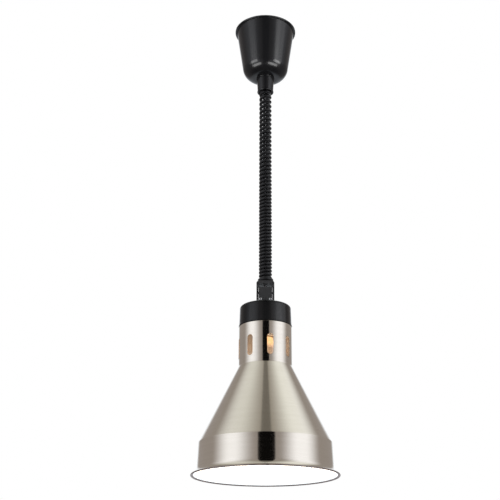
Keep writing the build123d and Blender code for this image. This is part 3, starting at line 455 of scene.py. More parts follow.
def brushed_nickel():
    """Spun shade: brushed round its axis, lacquered, warm nickel."""
    material, graph, shader = principled(
        "brushed_nickel", Metallic=1.0, Anisotropic=0.7, Anisotropic_Rotation=0.25
    )
    turns, along = around_axis(graph)

    def lines(round_scale, along_scale, detail):
        place = graph.add(
            "ShaderNodeCombineXYZ",
            graph.math("MULTIPLY", turns[0], round_scale),
            graph.math("MULTIPLY", turns[1], round_scale),
            graph.math("MULTIPLY", along, along_scale),
        ).outputs[0]
        return graph.noise(1.0, detail, place)

    broad = lines(1.6, 420.0, 3.0)
    fine = lines(5.0, 2600.0, 3.0)
    tone = graph.math("ADD", graph.math("MULTIPLY", broad, 0.6), graph.math("MULTIPLY", fine, 0.4))
    spread = graph.scaled(tone, 0.0, 1.0)
    graph.feed(shader["Base Color"],
               graph.blend(spread, rgb(0.635, 0.585, 0.505), rgb(0.685, 0.635, 0.555)))
    graph.feed(shader["Roughness"], graph.scaled(tone, 0.11, 0.15))
    tangent = graph.add("ShaderNodeTangent", direction_type="RADIAL", axis="Z")
    graph.feed(shader["Tangent"], tangent.outputs[0])
    graph.feed(shader["Normal"], graph.bump(fine, 0.000003, 0.4))
    return material


def spun_edge():
    """The rolled rim, darker and duller than the rest of the shade."""
    material, graph, shader = principled("spun_edge", Metallic=1.0)
    cloud = graph.noise(60.0, 4.0)
    graph.feed(shader["Base Color"],
               graph.blend(cloud, rgb(0.27, 0.225, 0.215), rgb(0.35, 0.295, 0.28)))
    graph.feed(shader["Roughness"], graph.scaled(graph.noise(300.0, 4.0), 0.42, 0.56))
    graph.feed(shader["Normal"], graph.bump(graph.noise(700.0, 3.0), 0.00001, 0.5))
    return material


PAINTED_ENAMEL_GLOW = 0.55               # painted glare: emission on the white below the lamp's face, in place of the lamp's light on it
GLOW_FADE = 0.03                 # height over which the painted glare fades, above the lamp's face
GLASS_FACE_GLOW = 9.0
GLASS_FACE_EDGE = (0.012, 0.024)  # heights above the face between which its glow ends
GLASS_SIDE_GLOW, GLASS_NECK_GLOW = 0.25, 0.75
GLASS_NECK_EDGE = (0.021, 0.012)  # drops from the glass's top between which its neck glows up


def white_enamel():
    """Baked white enamel on the inside of the shade, with a painted glare: it emits light below the
    lamp's face.
    """
    material, graph, shader = principled("white_enamel")
    flow = graph.noise(35.0, 4.0)
    graph.feed(shader["Base Color"], graph.blend(flow, rgb(0.86, 0.85, 0.83), rgb(0.92, 0.91, 0.90)))
    # Painted glare: the enamel itself emits a cool white below the lamp's face, fading out above it.
    graph.feed(shader["Emission Color"],
               graph.blend(flow, rgb(0.82, 0.90, 1.0), rgb(0.86, 0.94, 1.0)))
    height = graph.add("ShaderNodeSeparateXYZ", graph.place()).outputs[2]
    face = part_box("bulb_glass")[0][2]
    graph.feed(shader["Emission Strength"],
               graph.smooth_step(height, face, face + GLOW_FADE, PAINTED_ENAMEL_GLOW, 0.0))
    graph.feed(shader["Roughness"], graph.scaled(graph.noise(120.0, 3.0), 0.28, 0.42))
    graph.feed(shader["Normal"], graph.bump(graph.noise(500.0, 2.0), 0.00003, 0.4))
    return material


def lamp_glass():
    """A lit reflector lamp: hot frosted face, amber neck, dull silvered sides."""
    material, graph, shader = principled("lamp_glass", Roughness=0.22, Coat_Weight=0.4)
    height = graph.add("ShaderNodeSeparateXYZ", graph.place()).outputs[2]
    low, high = (corner[2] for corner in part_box("bulb_glass"))
    face = graph.smooth_step(height, *(low + rise for rise in GLASS_FACE_EDGE), 1.0, 0.0)
    neck = graph.smooth_step(height, *(high - drop for drop in GLASS_NECK_EDGE))
    cloud = graph.noise(45.0, 4.0)
    silver = graph.blend(cloud, rgb(0.62, 0.50, 0.38), rgb(0.78, 0.68, 0.55))
    graph.feed(shader["Base Color"], graph.blend(face, silver, rgb(0.95, 0.93, 0.88)))
    warm = graph.blend(neck, rgb(0.78, 0.46, 0.26), rgb(1.0, 0.56, 0.24))
    graph.feed(shader["Emission Color"], graph.blend(face, warm, rgb(1.0, 0.80, 0.58)))
    sides = graph.math("ADD", GLASS_SIDE_GLOW, graph.math("MULTIPLY", neck, GLASS_NECK_GLOW))
    strength = graph.add("ShaderNodeMix", data_type="FLOAT")
    graph.feed(strength.inputs["Factor"], face)
    graph.feed(strength.inputs["A"], sides)
    graph.feed(strength.inputs["B"], GLASS_FACE_GLOW)
    graph.feed(shader["Emission Strength"], strength.outputs["Result"])
    graph.feed(shader["Normal"], graph.bump(graph.noise(900.0, 2.0), 0.00003, 0.5))
    return material


def glazed(name, dark, light):
    """Fired glaze over a slightly wavy body."""
    material, graph, shader = principled(name, Coat_Weight=0.6, Coat_Roughness=0.08)
    graph.feed(shader["Base Color"], graph.blend(graph.noise(70.0, 4.0), dark, light))
    graph.feed(shader["Roughness"], graph.scaled(graph.noise(160.0, 3.0), 0.16, 0.3))
    graph.feed(shader["Normal"], graph.bump(graph.noise(240.0, 2.0), 0.00006, 0.4))
    return material


def glowing_wire():
    """The lamp's filament, alight."""
    material, graph, shader = principled(
        "tungsten", Metallic=1.0, Roughness=0.4, Emission_Strength=20.0
    )
    cloud = graph.noise(400.0, 3.0)
    graph.feed(shader["Emission Color"],
               graph.blend(cloud, rgb(1.0, 0.55, 0.2), rgb(1.0, 0.75, 0.4)))
    graph.feed(shader["Base Color"], graph.blend(cloud, rgb(0.3, 0.28, 0.25), rgb(0.5, 0.46, 0.4)))
    return material


SLOT_LOOKS = {
    "black_plastic": moulded_plastic(
        "black_plastic", rgb(0.0025, 0.0025, 0.0028), rgb(0.004, 0.004, 0.0044), 0.20,
        specular=0.2, grain_depth=0.000004),
    "black_metal": painted_metal(
        "black_metal", rgb(0.038, 0.038, 0.039), rgb(0.054, 0.053, 0.052), 0.52, specular=0.35),
    "cord_sheath": moulded_plastic(
        "cord_sheath", rgb(0.007, 0.007, 0.008), rgb(0.013, 0.013, 0.014), 0.42, specular=0.35),
    "brushed_nickel": brushed_nickel(),
    "plated_steel": bare_metal("plated_steel", rgb(0.55, 0.55, 0.56), rgb(0.72, 0.71, 0.70), 0.22),
    "sheet_steel": bare_metal(
        "sheet_steel", rgb(0.44, 0.45, 0.46), rgb(0.60, 0.60, 0.61), 0.34, 90.0),
    "spring_steel": bare_metal("spring_steel", rgb(0.14, 0.15, 0.19), rgb(0.24, 0.25, 0.29), 0.28),
    "wire_rope": bare_metal("wire_rope", rgb(0.38, 0.38, 0.39), rgb(0.58, 0.58, 0.58), 0.36, 500.0),
    "bronze": bare_metal("bronze", rgb(0.36, 0.22, 0.10), rgb(0.50, 0.33, 0.17), 0.45),
    "brass_contact": bare_metal(
        "brass_contact", rgb(0.62, 0.44, 0.16), rgb(0.76, 0.58, 0.27), 0.24),
    "nylon": moulded_plastic("nylon", rgb(0.62, 0.61, 0.56), rgb(0.72, 0.71, 0.66), 0.45),
    "terminal_plastic": moulded_plastic(
        "terminal_plastic", rgb(0.70, 0.68, 0.61), rgb(0.78, 0.76, 0.70), 0.5),
    "core_insulation": moulded_plastic(
        "core_insulation", rgb(0.16, 0.06, 0.025), rgb(0.22, 0.09, 0.04), 0.4),
    "fibre": moulded_plastic("fibre", rgb(0.20, 0.09, 0.05), rgb(0.30, 0.15, 0.09), 0.75, 700.0),
    "porcelain": glazed("porcelain", rgb(0.74, 0.72, 0.67), rgb(0.84, 0.83, 0.79)),
    "lamp_glass": lamp_glass(),
    "lamp_base": bare_metal("lamp_base", rgb(0.62, 0.60, 0.57), rgb(0.78, 0.76, 0.73), 0.25),
    "black_glass": glazed("black_glass", rgb(0.012, 0.012, 0.014), rgb(0.03, 0.03, 0.035)),
    "tungsten": glowing_wire(),
}


def dress(piece, slot, *more):
    """Gives a new piece its slot's material, and any more that its faces use."""
    for material in (SLOT_LOOKS[slot], *more):
        piece.data.materials.append(material)


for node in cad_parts.values():
    for place in node.material_slots:
        place.material = SLOT_LOOKS[place.material.name.split(".")[0]]
dress(curly_cord, "cord_sheath")
dress(suspension_wire, "wire_rope")

# ---- Canopy --------------------------------------------------------------------------

CUP_LIP_HEIGHT = 0.0032
CUP_TOP_RADIUS = 0.0522
CUP_CORNER_RADIUS = 0.0377
CUP_ROUND = 0.022
CUP_WALL = 0.0024
CUP_HOLE = 0.0159
SOFT = 0.0004                    # an edge that is only broken
SLEEVE_BORE = 0.0123
SLEEVE_TOP_RADIUS, SLEEVE_END_RADIUS = 0.0156, 0.0145
SLEEVE_GROOVE = (                # radius and depth below the cup of the ring at the sleeve's root
    (0.0156, 0.0006),
    (0.0151, 0.0010),
    (0.0151, 0.0018),
    (0.0155, 0.0022),
)
SLEEVE_WAIST = (0.0138, 0.0025)  # radius, and height above the sleeve's end
SLEEVE_END_HEIGHT = 0.0020


def make_canopy_cup():
    low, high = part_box("canopy_cup")
    lip = high[0]
    taper = (CUP_TOP_RADIUS - CUP_CORNER_RADIUS) / (high[2] - low[2])
    outline = rounded([
        (CUP_HOLE, low[2], SOFT),
        (CUP_CORNER_RADIUS, low[2], CUP_ROUND),
        (CUP_TOP_RADIUS - taper * CUP_LIP_HEIGHT, -CUP_LIP_HEIGHT, 0.0006),
        (lip, -CUP_LIP_HEIGHT, 0.0009),
        (lip, high[2], 0.0009),
        (CUP_TOP_RADIUS - CUP_WALL, high[2], SOFT),
        (CUP_CORNER_RADIUS - CUP_WALL, low[2] + CUP_WALL, CUP_ROUND - CUP_WALL),
        (CUP_HOLE, low[2] + CUP_WALL, SOFT),
    ], step=radians(4))
    cup = lathe("canopy_cup_shell", outline, steps=256)
    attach(cup, "canopy")
    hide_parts("canopy_cup")
    dress(cup, "black_plastic")


def make_canopy_neck():
    low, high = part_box("canopy_neck")
    cup_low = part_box("canopy_cup")[0][2]
    floor = cup_low + CUP_WALL
    outline = rounded([
        (SLEEVE_BORE, high[2], SOFT),
        (high[0], high[2], SOFT),
        (high[0], floor, 0.0001),
        (SLEEVE_TOP_RADIUS, floor, 0.0001),
        *((radius, cup_low - depth, 0.0003) for radius, depth in SLEEVE_GROOVE),
        (SLEEVE_WAIST[0], low[2] + SLEEVE_WAIST[1], 0.0006),
        (SLEEVE_END_RADIUS, low[2] + SLEEVE_END_HEIGHT, 0.0004),
        (SLEEVE_END_RADIUS, low[2], 0.0007),
        (SLEEVE_BORE, low[2], 0.0003),
    ])
    neck = lathe("canopy_neck_sleeve", outline, steps=128)
    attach(neck, "canopy")
    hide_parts("canopy_neck")
    dress(neck, "black_plastic")


make_canopy_cup()
make_canopy_neck()

# ---- Lamp cap and shade ----------------------------------------------------------------

CAP_TOP_RADIUS, CAP_LOW_RADIUS = 0.0417, 0.0426
CAP_LIP_HEIGHT = 0.002
CAP_ROUND = 0.0046
CAP_WALL, CAP_ROOF = 0.002, 0.003
CAP_HOLE = 0.0051

SHADE_WALL = 0.0008
SHADE_HOLE = 0.026
NECK_RADIUS = 0.0432
NECK_DROP = 0.0666               # from the flange to the cone
BAND_TOP_RADIUS, BAND_TOP_DROP = 0.1051, 0.1893
BAND_LOW_RADIUS, BAND_LOW_DROP = 0.1067, 0.2283
BEAD_RADIUS = 0.0012
BEAD_GAP = 42                    # degrees that the rolled bead is left open
BEAD_STEPS = 24
RIM_WIDTH = 0.0036               # of the darker spun edge, measured in from the rim
SLOT_COUNT = 8
SLOT_WIDTH, SLOT_HEIGHT, SLOT_DROP = 0.010, 0.034, 0.0387
SLOT_PHASE = 10.4                # degrees from the front to the nearest slot
CUTTER_INSIDE, CUTTER_OUTSIDE = 0.012, 0.008  # how far the slot cutters pass the neck's wall
CUTTER_STEPS = 24                # in each rounded end
SHADE_MESH = 0.004               # longest stretch of the shade's and lamp's outlines


def make_lamp_cap():
    low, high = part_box("lamp_cap")
    lip_top = low[2] + CAP_LIP_HEIGHT
    outline = rounded([
        (CAP_HOLE, high[2], 0.0003),
        (CAP_TOP_RADIUS, high[2], CAP_ROUND),
        (CAP_LOW_RADIUS, lip_top, 0.0003),
        (high[0], lip_top - 0.0004, 0.0003),
        (high[0], low[2], 0.0003),
        (CAP_LOW_RADIUS - CAP_WALL, low[2], 0.0002),
        (CAP_TOP_RADIUS - CAP_WALL, high[2] - CAP_ROOF, 0.001),
        (CAP_HOLE, high[2] - CAP_ROOF, 0.0003),
    ], step=radians(5))
    cap = lathe("lamp_cap_shell", outline, steps=256)
    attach(cap, "head")
    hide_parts("lamp_cap")
    dress(cap, "black_plastic")


def slot_cutter(turn, centre):
    """A radial prism with half-round ends, for one vent slot."""
    graph = bmesh.new()
    half, straight = SLOT_WIDTH / 2, (SLOT_HEIGHT - SLOT_WIDTH) / 2
    outwards = Vector((cos(turn), sin(turn), 0.0))
    across = Vector((-sin(turn), cos(turn), 0.0))
    rim = []
    for k in range(2 * CUTTER_STEPS + 2):
        upper = k <= CUTTER_STEPS
        angle = pi * (k if upper else k - 1) / CUTTER_STEPS
        height = (straight if upper else -straight) + half * sin(angle)
        rim.append(across * (half * cos(angle)) + Vector((0.0, 0.0, centre + height)))
    near = [graph.verts.new(point + outwards * (NECK_RADIUS - CUTTER_INSIDE)) for point in rim]
    far = [graph.verts.new(point + outwards * (NECK_RADIUS + CUTTER_OUTSIDE)) for point in rim]
    bridge(graph, [near, far], closed=False)
    graph.faces.new(near)
    graph.faces.new(list(reversed(far)))
    return graph


def shade_outline(top, rim, bottom):
    """Outer wall, rolled bead and inner wall of the shade; also where the inner wall starts."""
    outer = rounded([
        (SHADE_HOLE, top, 0.0),
        (NECK_RADIUS, top, 0.0016),
        (NECK_RADIUS, top - NECK_DROP, 0.003),
        (BAND_TOP_RADIUS, top - BAND_TOP_DROP, 0.0022),
        (BAND_LOW_RADIUS, top - BAND_LOW_DROP, 0.0),
    ], closed=False, step=radians(3))
    bead = Vector((rim - BEAD_RADIUS, bottom + BEAD_RADIUS))
    along = (BAND_LOW_RADIUS - BAND_TOP_RADIUS, BAND_TOP_DROP - BAND_LOW_DROP)
    outer += tangent_arc(outer[-1], along, bead)[1:]
    heading = (bead - Vector(outer[-2])).normalized()
    outer = [point for point in outer if (Vector(point) - bead).length > BEAD_RADIUS * 1.02]
    wall = inset(outer, SHADE_WALL)
    start = atan2(-heading.y, -heading.x)
    sweep = -2 * pi + radians(BEAD_GAP)
    roll = [
        (bead.x + BEAD_RADIUS * cos(start + sweep * k / BEAD_STEPS),
         bead.y + BEAD_RADIUS * sin(start + sweep * k / BEAD_STEPS))
        for k in range(BEAD_STEPS + 1)
    ]
    return outer + roll + wall[::-1], len(outer) + BEAD_STEPS


def refine(outline, longest):
    """The same outline with its long stretches divided, so that the mesh is even."""
    points = [outline[0]]
    for one, other in zip(outline, outline[1:]):
        parts = max(1, ceil(hypot(other[0] - one[0], other[1] - one[1]) / longest))
        for k in range(1, parts + 1):
            points.append(tuple(a + (b - a) * k / parts for a, b in zip(one, other)))
    return points


def make_shade():
    low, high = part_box("shade")
    outline, inner_start = shade_outline(high[2], high[0], low[2])
    inner_start = len(refine(outline[:inner_start + 1], SHADE_MESH)) - 1
    outline = refine(outline, SHADE_MESH)
    shade = lathe("shade_spinning", outline, steps=288, second_from=inner_start)
    graphs = [
        slot_cutter(radians(-90 + SLOT_PHASE + i * 360 / SLOT_COUNT), high[2] - SLOT_DROP)
        for i in range(SLOT_COUNT)
    ]
    cutter_mesh = bpy.data.meshes.new("slots")
    joined = bmesh.new()
    for graph in graphs:
        graph.to_mesh(cutter_mesh)
        joined.from_mesh(cutter_mesh)
        graph.free()
    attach(shade, "head")
    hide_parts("shade")
    for face in shade.data.polygons:
        if face.center.xy.length > high[0] - RIM_WIDTH:
            face.material_index = 2
    dress(shade, "brushed_nickel", white_enamel(), spun_edge())
    cut(shade, piece_from("slots", joined))


make_lamp_cap()
make_shade()

# ---- Lamp and lampholder ---------------------------------------------------------------

HOLDER_RADIUS, HOLDER_BORE = 0.021, 0.015
HOLDER_HOLE = 0.0051
CHAMBER_RADIUS, CHAMBER_FLOOR, CHAMBER_DROP = 0.012, 0.003, 0.008
HOLDER_RING = (0.0008, 0.005, 0.006, 0.008, 0.009)  # a groove's depth, then its heights

GLASS_THROAT = 0.0123
GLASS_NECK = 0.020
GLASS_SHOULDER_DROP = 0.015      # from the top of the glass to its full neck
GLASS_NECK_DROP = 0.047          # and to where it flares
GLASS_WIDEST_RISE = 0.027        # above the face
BROW_RADIUS = 0.018
FACE_SLOPE = radians(18)


def bezier(start, towards, back, end, parts):
    """Points of one cubic curve."""
    points = []
    for k in range(parts + 1):
        t = k / parts
        weights = ((1 - t) ** 3, 3 * t * (1 - t) ** 2, 3 * t * t * (1 - t), t ** 3)
        corners = (start, towards, back, end)
        points.append(tuple(sum(w * c[i] for w, c in zip(weights, corners)) for i in (0, 1)))
    return points


def make_bulb():
    low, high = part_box("bulb_glass")
    wide, top, face = high[0], high[2], low[2]
    shoulder = top - GLASS_SHOULDER_DROP
    waist = top - GLASS_NECK_DROP
    widest = face + GLASS_WIDEST_RISE
    outline = [(0.0, top), (GLASS_THROAT, top)]
    outline += bezier((GLASS_THROAT, top - 0.003), (GLASS_THROAT + 0.003, top - 0.0075),
                      (GLASS_NECK, shoulder + 0.006), (GLASS_NECK, shoulder), 10)
    outline += bezier((GLASS_NECK, waist), (GLASS_NECK, waist - 0.030), (wide, widest + 0.040),
                      (wide, widest), 26)
    outline += [
        (wide - BROW_RADIUS + BROW_RADIUS * cos(a), widest + BROW_RADIUS * sin(a))
        for a in (radians(-6 * k) for k in range(1, 13))
    ]
    edge = outline[-1]
    fall = tan(FACE_SLOPE) * edge[0] * 0.45
    outline += bezier(edge, (edge[0] * 0.62, edge[1] - fall * 0.62), (edge[0] * 0.3, face),
                      (0.0, face), 14)[1:]
    bulb = lathe("bulb_glass_envelope", refine(outline, SHADE_MESH), steps=192, closed=False)
    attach(bulb, "lamp")
    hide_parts("bulb_glass")
    dress(bulb, "lamp_glass")


def make_lampholder():
    low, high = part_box("lampholder_dome")
    dome = lathe("lampholder_dome_porcelain", rounded([
        (HOLDER_HOLE, high[2], 0.0002),
        (0.0095, high[2], 0.0008),
        (HOLDER_RADIUS - 0.003, high[2] - 0.004, 0.003),
        (HOLDER_RADIUS, high[2] - 0.010, 0.002),
        (HOLDER_RADIUS, low[2], 0.0005),
        (0.0, low[2], 0.0),
        (0.0, low[2] + CHAMBER_FLOOR, 0.0),
        (CHAMBER_RADIUS, low[2] + CHAMBER_FLOOR, SOFT),
        (CHAMBER_RADIUS, high[2] - CHAMBER_DROP, SOFT),
        (HOLDER_HOLE, high[2] - CHAMBER_DROP, SOFT),
    ]), steps=128)
    low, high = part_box("lampholder_body")
    groove, *heights = HOLDER_RING
    below, floor_low, floor_high, above = (low[2] + height for height in heights)
    sleeve = lathe("lampholder_porcelain", rounded([
        (HOLDER_BORE, high[2], 0.0003),
        (HOLDER_RADIUS, high[2], 0.0005),
        (HOLDER_RADIUS, above, 0.0006),
        (HOLDER_RADIUS - groove, floor_high, 0.0006),
        (HOLDER_RADIUS - groove, floor_low, 0.0006),
        (HOLDER_RADIUS, below, 0.0006),
        (HOLDER_RADIUS, low[2], 0.0015),
        (HOLDER_BORE, low[2], 0.0008),
    ]), steps=128)
    for piece, node in ((dome, "lampholder_dome"), (sleeve, "lampholder_body")):
        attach(piece, "head")
        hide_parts(node)
        dress(piece, "porcelain")


THREAD_PITCH = 0.0036
THREAD_STEP = 0.0003             # height between the rings of a threaded wall
BASE_CREST, BASE_ROOT = 0.0132, 0.0125
BASE_LIP = 0.002                 # below the lamp's thread
SHELL_CREST, SHELL_ROOT = 0.01375, 0.0144


def thread_wall(crest, root, low, high):
    """Points up the middle of a wall that a thread is rolled into."""
    parts = round((high - low) / THREAD_STEP)
    return [((crest + root) / 2, low + (high - low) * k / parts) for k in range(parts + 1)]


def threaded(name, wall, outline, crest, root, steps=144):
    """A turned piece whose first points, the wall, carry a round helical thread."""
    graph = bmesh.new()
    low, high = wall[0][1], wall[-1][1]
    rings = []
    for k, (radius, height) in enumerate(wall + outline):
        ring = []
        for i in range(steps):
            turn = 2 * pi * i / steps
            reach = radius
            if k < len(wall):
                end = min(1.0, (height - low) / THREAD_PITCH, (high - height) / THREAD_PITCH)
                wave = cos(2 * pi * height / THREAD_PITCH - turn)
                reach += end * wave * (crest - root) / 2
            ring.append(graph.verts.new((reach * cos(turn), reach * sin(turn), height)))
        rings.append(ring)
    bridge(graph, rings, closed=True)
    return piece_from(name, graph)


def make_threads():
    low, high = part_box("bulb_base")
    wall = thread_wall(BASE_CREST, BASE_ROOT, low[2] + BASE_LIP, high[2])
    lip = [(GLASS_THROAT, high[2]), (GLASS_THROAT, low[2]), (BASE_CREST, low[2]),
           (BASE_CREST, low[2] + 0.8 * BASE_LIP)]
    base = threaded("lamp_screw_base", wall, lip, BASE_CREST, BASE_ROOT)
    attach(base, "lamp")
    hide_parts("bulb_base")
    dress(base, "lamp_base")
    low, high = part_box("thread_shell")
    wall = thread_wall(SHELL_CREST, SHELL_ROOT, low[2], high[2])
    outside = [(high[0], high[2]), (high[0], low[2])]
    shell = threaded("holder_screw_shell", wall, outside, SHELL_CREST, SHELL_ROOT)
    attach(shell, "head")
    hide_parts("thread_shell")
    dress(shell, "brass_contact")


# ---- Screws --------------------------------------------------------------------------

CROSS_WIDTH, CROSS_REACH = 0.3, 0.62  # the recess's width and half length, of the head's radius
CROSS_DEPTH = 0.65               # of the head's height
THREAD_CORE = 0.82               # of the shank's radius
THREAD_STEEPNESS = 0.7           # pitch, of the shank's radius
HEAD_EDGE = 0.45                 # of the head's height, where its dome starts
FIRST_TURN, NEXT_TURN = 0.5, 0.9  # how far each screw is driven, in radians

# Each set of pan-head screws: node, body, the way the heads face, head radius and height,
# shank radius and length, and the centres of the heads' bearing faces.
SCREWS = (
    ("lug_screws", "head", (0, -1, 0), 0.0021, 0.0014, 0.00125, 0.012,
     ((-0.008, -0.010, -0.5206), (0.008, -0.010, -0.5206))),
    ("shade_screws", "head", (0, 0, -1), 0.0028, 0.0020, 0.00142, 0.011,
     tuple((0.034 * cos(radians(a)), 0.034 * sin(radians(a)), -0.567) for a in (30, 150, 270))),
    ("grip_screws", "ceiling", (0, -1, 0), 0.0022, 0.0016, 0.00118, 0.0095,
     ((-0.0065, -0.013, -0.0745), (0.0065, -0.013, -0.0745))),
    ("frame_screws", "ceiling", (0, 0, -1), 0.0036, 0.0022, 0.00198, 0.0037,
     ((0.0, -0.009, -0.004), (0.0, 0.028, -0.004))),
    ("case_screws", "ceiling", (1, 0, 0), 0.0023, 0.0017, 0.00118, 0.003,
     ((0.0162, 0.01575, -0.0535), (0.0162, 0.01575, -0.0145))),
    ("guide_screws", "ceiling", (0, 0, -1), 0.00145, 0.0014, 0.00123, 0.0055,
     ((0.0112, 0.011, -0.082), (-0.0112, -0.011, -0.082))),
)


def one_screw(radius, height, shank, length):
    """A screw that faces +Z from the origin: domed head, cross recess and threaded shank."""
    dome = [
        (radius * cos(radians(a)), height * (HEAD_EDGE + (1 - HEAD_EDGE) * sin(radians(a))))
        for a in range(0, 90, 10)
    ]
    turns = max(2, int(length / (shank * THREAD_STEEPNESS)))
    core = shank * THREAD_CORE
    thread = [
        (shank if k % 2 else core, -length + k * length / (2 * turns)) for k in range(2 * turns)
    ]
    outline = [(0.0, -length)] + thread + [(core, 0.0), (radius, 0.0)] + dome + [(0.0, height)]
    piece = lathe("screw", outline, steps=40, closed=False)
    graph = bmesh.new()
    size = (2 * CROSS_REACH * radius, CROSS_WIDTH * radius, 2 * CROSS_DEPTH * height)
    for turn in (0.0, pi / 2):
        made = bmesh.ops.create_cube(graph, size=1.0)["verts"]
        bmesh.ops.scale(graph, vec=size, verts=made)
        bmesh.ops.translate(graph, vec=(0.0, 0.0, height), verts=made)
        bmesh.ops.rotate(graph, matrix=Matrix.Rotation(turn, 3, "Z"), verts=made)
    cut(piece, piece_from("cross", graph, smooth=False), self_crossing=True)
    return piece


def make_screws():
    for node, body, facing, radius, height, shank, length, places in SCREWS:
        sample = one_screw(radius, height, shank, length)
        lean = Vector(facing).to_track_quat("Z", "Y").to_matrix().to_4x4()
        graph = bmesh.new()
        for k, place in enumerate(places):
            mesh = sample.data.copy()
            turned = Matrix.Rotation(FIRST_TURN + NEXT_TURN * k, 4, "Z")
            mesh.transform(Matrix.Translation(place) @ lean @ turned)
            graph.from_mesh(mesh)
            bpy.data.meshes.remove(mesh)
        bpy.data.objects.remove(sample)
        piece = piece_from(node + "_turned", graph)
        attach(piece, body)
        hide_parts(node)
        dress(piece, "plated_steel")


make_bulb()
make_lampholder()
make_threads()
make_screws()

# ---- Studio --------------------------------------------------------------------------

FLOOR_HEIGHT = -2.4
FLOOR_SIZE = 12.0


def make_floor():
    bpy.ops.mesh.primitive_grid_add(x_subdivisions=24, y_subdivisions=24, size=FLOOR_SIZE,
                                    location=(0.0, 0.0, FLOOR_HEIGHT))
    floor = bpy.context.object
    floor.name = "floor"
    material, graph, shader = principled("pale_floor", Roughness=0.6)
    cloud = graph.noise(3.0, 4.0)
    graph.feed(shader["Base Color"],
               graph.blend(cloud, rgb(0.78, 0.78, 0.77), rgb(0.84, 0.84, 0.83)))
    floor.data.materials.append(material)
    floor.visible_glossy = False


# Azimuths are in degrees from the front, heights in degrees above the horizon.
# Each studio panel: azimuth of its middle, how far that moves back for each degree of height,
# half width and its soft edge, what is left of it overhead, and its brightness.
PANELS = (
    (-58.0, -0.5, 23.0, 20.0, 0.60, (0.94, 1.02, 1.15)),
    (63.5, 0.58, 24.0, 18.0, 0.80, (0.98, 1.06, 1.20)),
)
PANEL_HEIGHT = 14.0              # where a panel's middle has its stated azimuth
PANEL_SPREAD = 0.4               # power with which a panel's width in degrees grows overhead
PANEL_FOOT = (-26.0, -12.0)      # below this a panel is out, above it full
PANEL_DIMMING = (20.0, 56.0)
PANEL_TOP, PANEL_TOP_LEFT = (62.0, 88.0), 0.3
SURROUND = (0.40, 0.37, 0.36)
FLOOR_SHADE = 0.12               # what is left of the surround straight below the lamp
FLOOR_FADE = (-60.0, -25.0)
BACKDROP, BACKDROP_EDGE = (0.70, 0.78, 0.86), (147.0, 163.0)
OVERHEAD_TINT, TINT_FADE = (0.97, 0.98, 0.90), (25.0, 60.0)
GAP_CENTRE, GAP_HALF, GAP_EDGE = 1.9, 14.4, 1.0  # azimuths of the dark gap between the panels
GAP_FADE, GAP_LOW, GAP_HIGH = (45.0, 66.0), 0.99, 0.45  # how dark the gap is low down and overhead
WHITE = rgb(1.0, 1.0, 1.0)


def make_world():
    """Soft white panels round the lamp, a dark gap in front, and plain white behind it."""
    world = bpy.data.worlds.new("studio")
    scene.world = world
    world.use_nodes = True
    graph = Graph(world.node_tree)
    world.node_tree.nodes.clear()
    direction = graph.add("ShaderNodeTexCoord").outputs["Generated"]
    x, y, z = graph.add("ShaderNodeSeparateXYZ", direction).outputs
    azimuth = graph.math("DEGREES", graph.math("ARCTAN2", x, graph.math("MULTIPLY", y, -1.0)))
    elevation = graph.math("DEGREES", graph.math("ARCSINE", z))
    level = graph.math("SUBTRACT", 1.0, graph.math("MULTIPLY", z, z))
    level = graph.math("POWER", level, PANEL_SPREAD)

    def scaled(colour, share):
        node = graph.add("ShaderNodeVectorMath", colour, operation="SCALE")
        graph.feed(node.inputs["Scale"], share)
        return node.outputs[0]

    def over(base, colour, share):
        parts = base, scaled(colour, share)
        return graph.add("ShaderNodeVectorMath", *parts, operation="ADD").outputs[0]

    light = scaled(SURROUND, graph.smooth_step(elevation, *FLOOR_FADE, FLOOR_SHADE, 1.0))
    behind = graph.smooth_step(graph.math("ABSOLUTE", azimuth), *BACKDROP_EDGE)
    light = over(light, BACKDROP, behind)
    raised = graph.math("SUBTRACT", elevation, PANEL_HEIGHT)
    fading = graph.smooth_step(elevation, *PANEL_TOP, 1.0, PANEL_TOP_LEFT)
    rising = graph.smooth_step(elevation, *PANEL_FOOT)
    for middle, lean, half, edge, overhead, colour in PANELS:
        place = graph.math("ADD", middle, graph.math("MULTIPLY", raised, lean))
        away = graph.math("ABSOLUTE", graph.math("SUBTRACT", azimuth, place))
        away = graph.math("MULTIPLY", away, level)
        mask = graph.smooth_step(away, half - edge, half + edge, 1.0, 0.0)
        dimming = graph.smooth_step(elevation, *PANEL_DIMMING, 1.0, overhead)
        for share in (dimming, fading, rising):
            mask = graph.math("MULTIPLY", mask, share)
        light = over(light, colour, mask)
    aside = graph.math("ABSOLUTE", graph.math("SUBTRACT", azimuth, GAP_CENTRE))
    gap = graph.smooth_step(aside, GAP_HALF - GAP_EDGE, GAP_HALF + GAP_EDGE, 1.0, 0.0)
    depth = graph.smooth_step(elevation, *GAP_FADE, GAP_LOW, GAP_HIGH)
    light = scaled(light, graph.math("SUBTRACT", 1.0, graph.math("MULTIPLY", gap, depth)))
    tint = graph.blend(graph.smooth_step(elevation, *TINT_FADE), WHITE, rgb(*OVERHEAD_TINT))
    toned = graph.add("ShaderNodeVectorMath", light, tint, operation="MULTIPLY")
    studio = graph.add("ShaderNodeBackground", toned.outputs[0], 1.0)
    white = graph.add("ShaderNodeBackground", WHITE, 1.0)
    seen = graph.add("ShaderNodeLightPath").outputs["Is Camera Ray"]
    mixed = graph.add("ShaderNodeMixShader", seen, studio.outputs[0], white.outputs[0])
    graph.add("ShaderNodeOutputWorld", mixed.outputs[0])


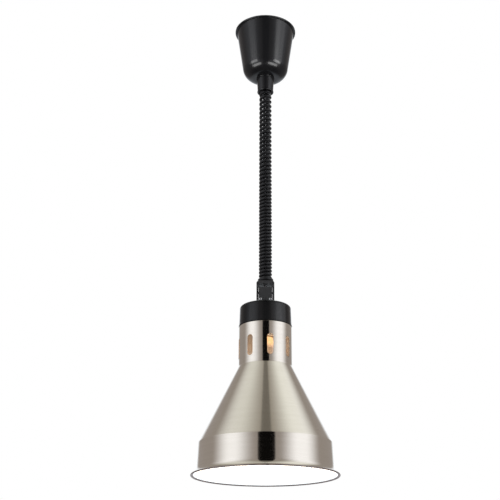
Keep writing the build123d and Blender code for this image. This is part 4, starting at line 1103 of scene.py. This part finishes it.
# Each strip light: its name, what it falls on, how far it stands from the lamp's axis, its first
# and last azimuth, its lowest and highest edge and its radiance.
CUP, CAP = ("canopy_cup_shell", "canopy_neck_sleeve"), ("lamp_cap_shell",)
STRIPS = (
    ("cup_right", CUP, 1.1, 43.0, 62.0, 0.14, 0.42, 3.1),
    ("cup_right_side", CUP, 1.1, 62.0, 84.0, 0.13, 0.42, 1.6),
    ("cup_right_foot", CUP, 1.1, 42.0, 74.0, -0.26, 0.14, 15.0),
    ("cup_right_low", CUP, 2.2, 12.0, 72.0, -2.1, -1.0, 13.0),
    ("cup_left", CUP, 1.1, -70.0, -40.0, 0.14, 0.42, 1.0),
    ("cup_left_foot", CUP, 1.1, -72.0, -38.0, -0.26, 0.14, 10.5),
    ("cup_left_low", CUP, 2.2, -76.0, -22.0, -2.1, -1.0, 12.0),
    ("cap_right", CAP, 1.1, 45.0, 78.0, -0.34, -0.06, 2.8),
    ("cap_right_inner", CAP, 1.1, 24.0, 45.0, -0.34, -0.06, 1.1),
    ("cap_right_outer", CAP, 1.1, 78.0, 100.0, -0.34, -0.06, 1.1),
    ("cap_middle", CAP, 1.1, -30.0, 24.0, -0.34, -0.06, 0.6),
    ("cap_left", CAP, 1.1, -80.0, -30.0, -0.34, -0.06, 1.0),
)


def make_strips():
    """Strip lights, flagged so that each falls on its own moulded covers only."""
    for name, lit, reach, first, last, low, high, radiance in STRIPS:
        data = bpy.data.lights.new(name, "AREA")
        data.shape = "RECTANGLE"
        data.size = 2 * reach * sin(radians(last - first) / 2)
        data.size_y = high - low
        data.energy = radiance * pi * data.size * data.size_y
        middle = radians(first + last) / 2
        light = bpy.data.objects.new(name, data)
        light.location = (reach * sin(middle), -reach * cos(middle), (low + high) / 2)
        light.rotation_euler = (radians(90), 0.0, middle)
        light.visible_camera = False
        covers = bpy.data.collections.new(name + "_covers")
        for cover in lit:
            covers.objects.link(bpy.data.objects[cover])
        light.light_linking.receiver_collection = covers
        scene.collection.objects.link(light)


make_floor()
make_world()
make_strips()
scene.view_settings.view_transform = "Standard"
scene.cycles.use_denoising = True
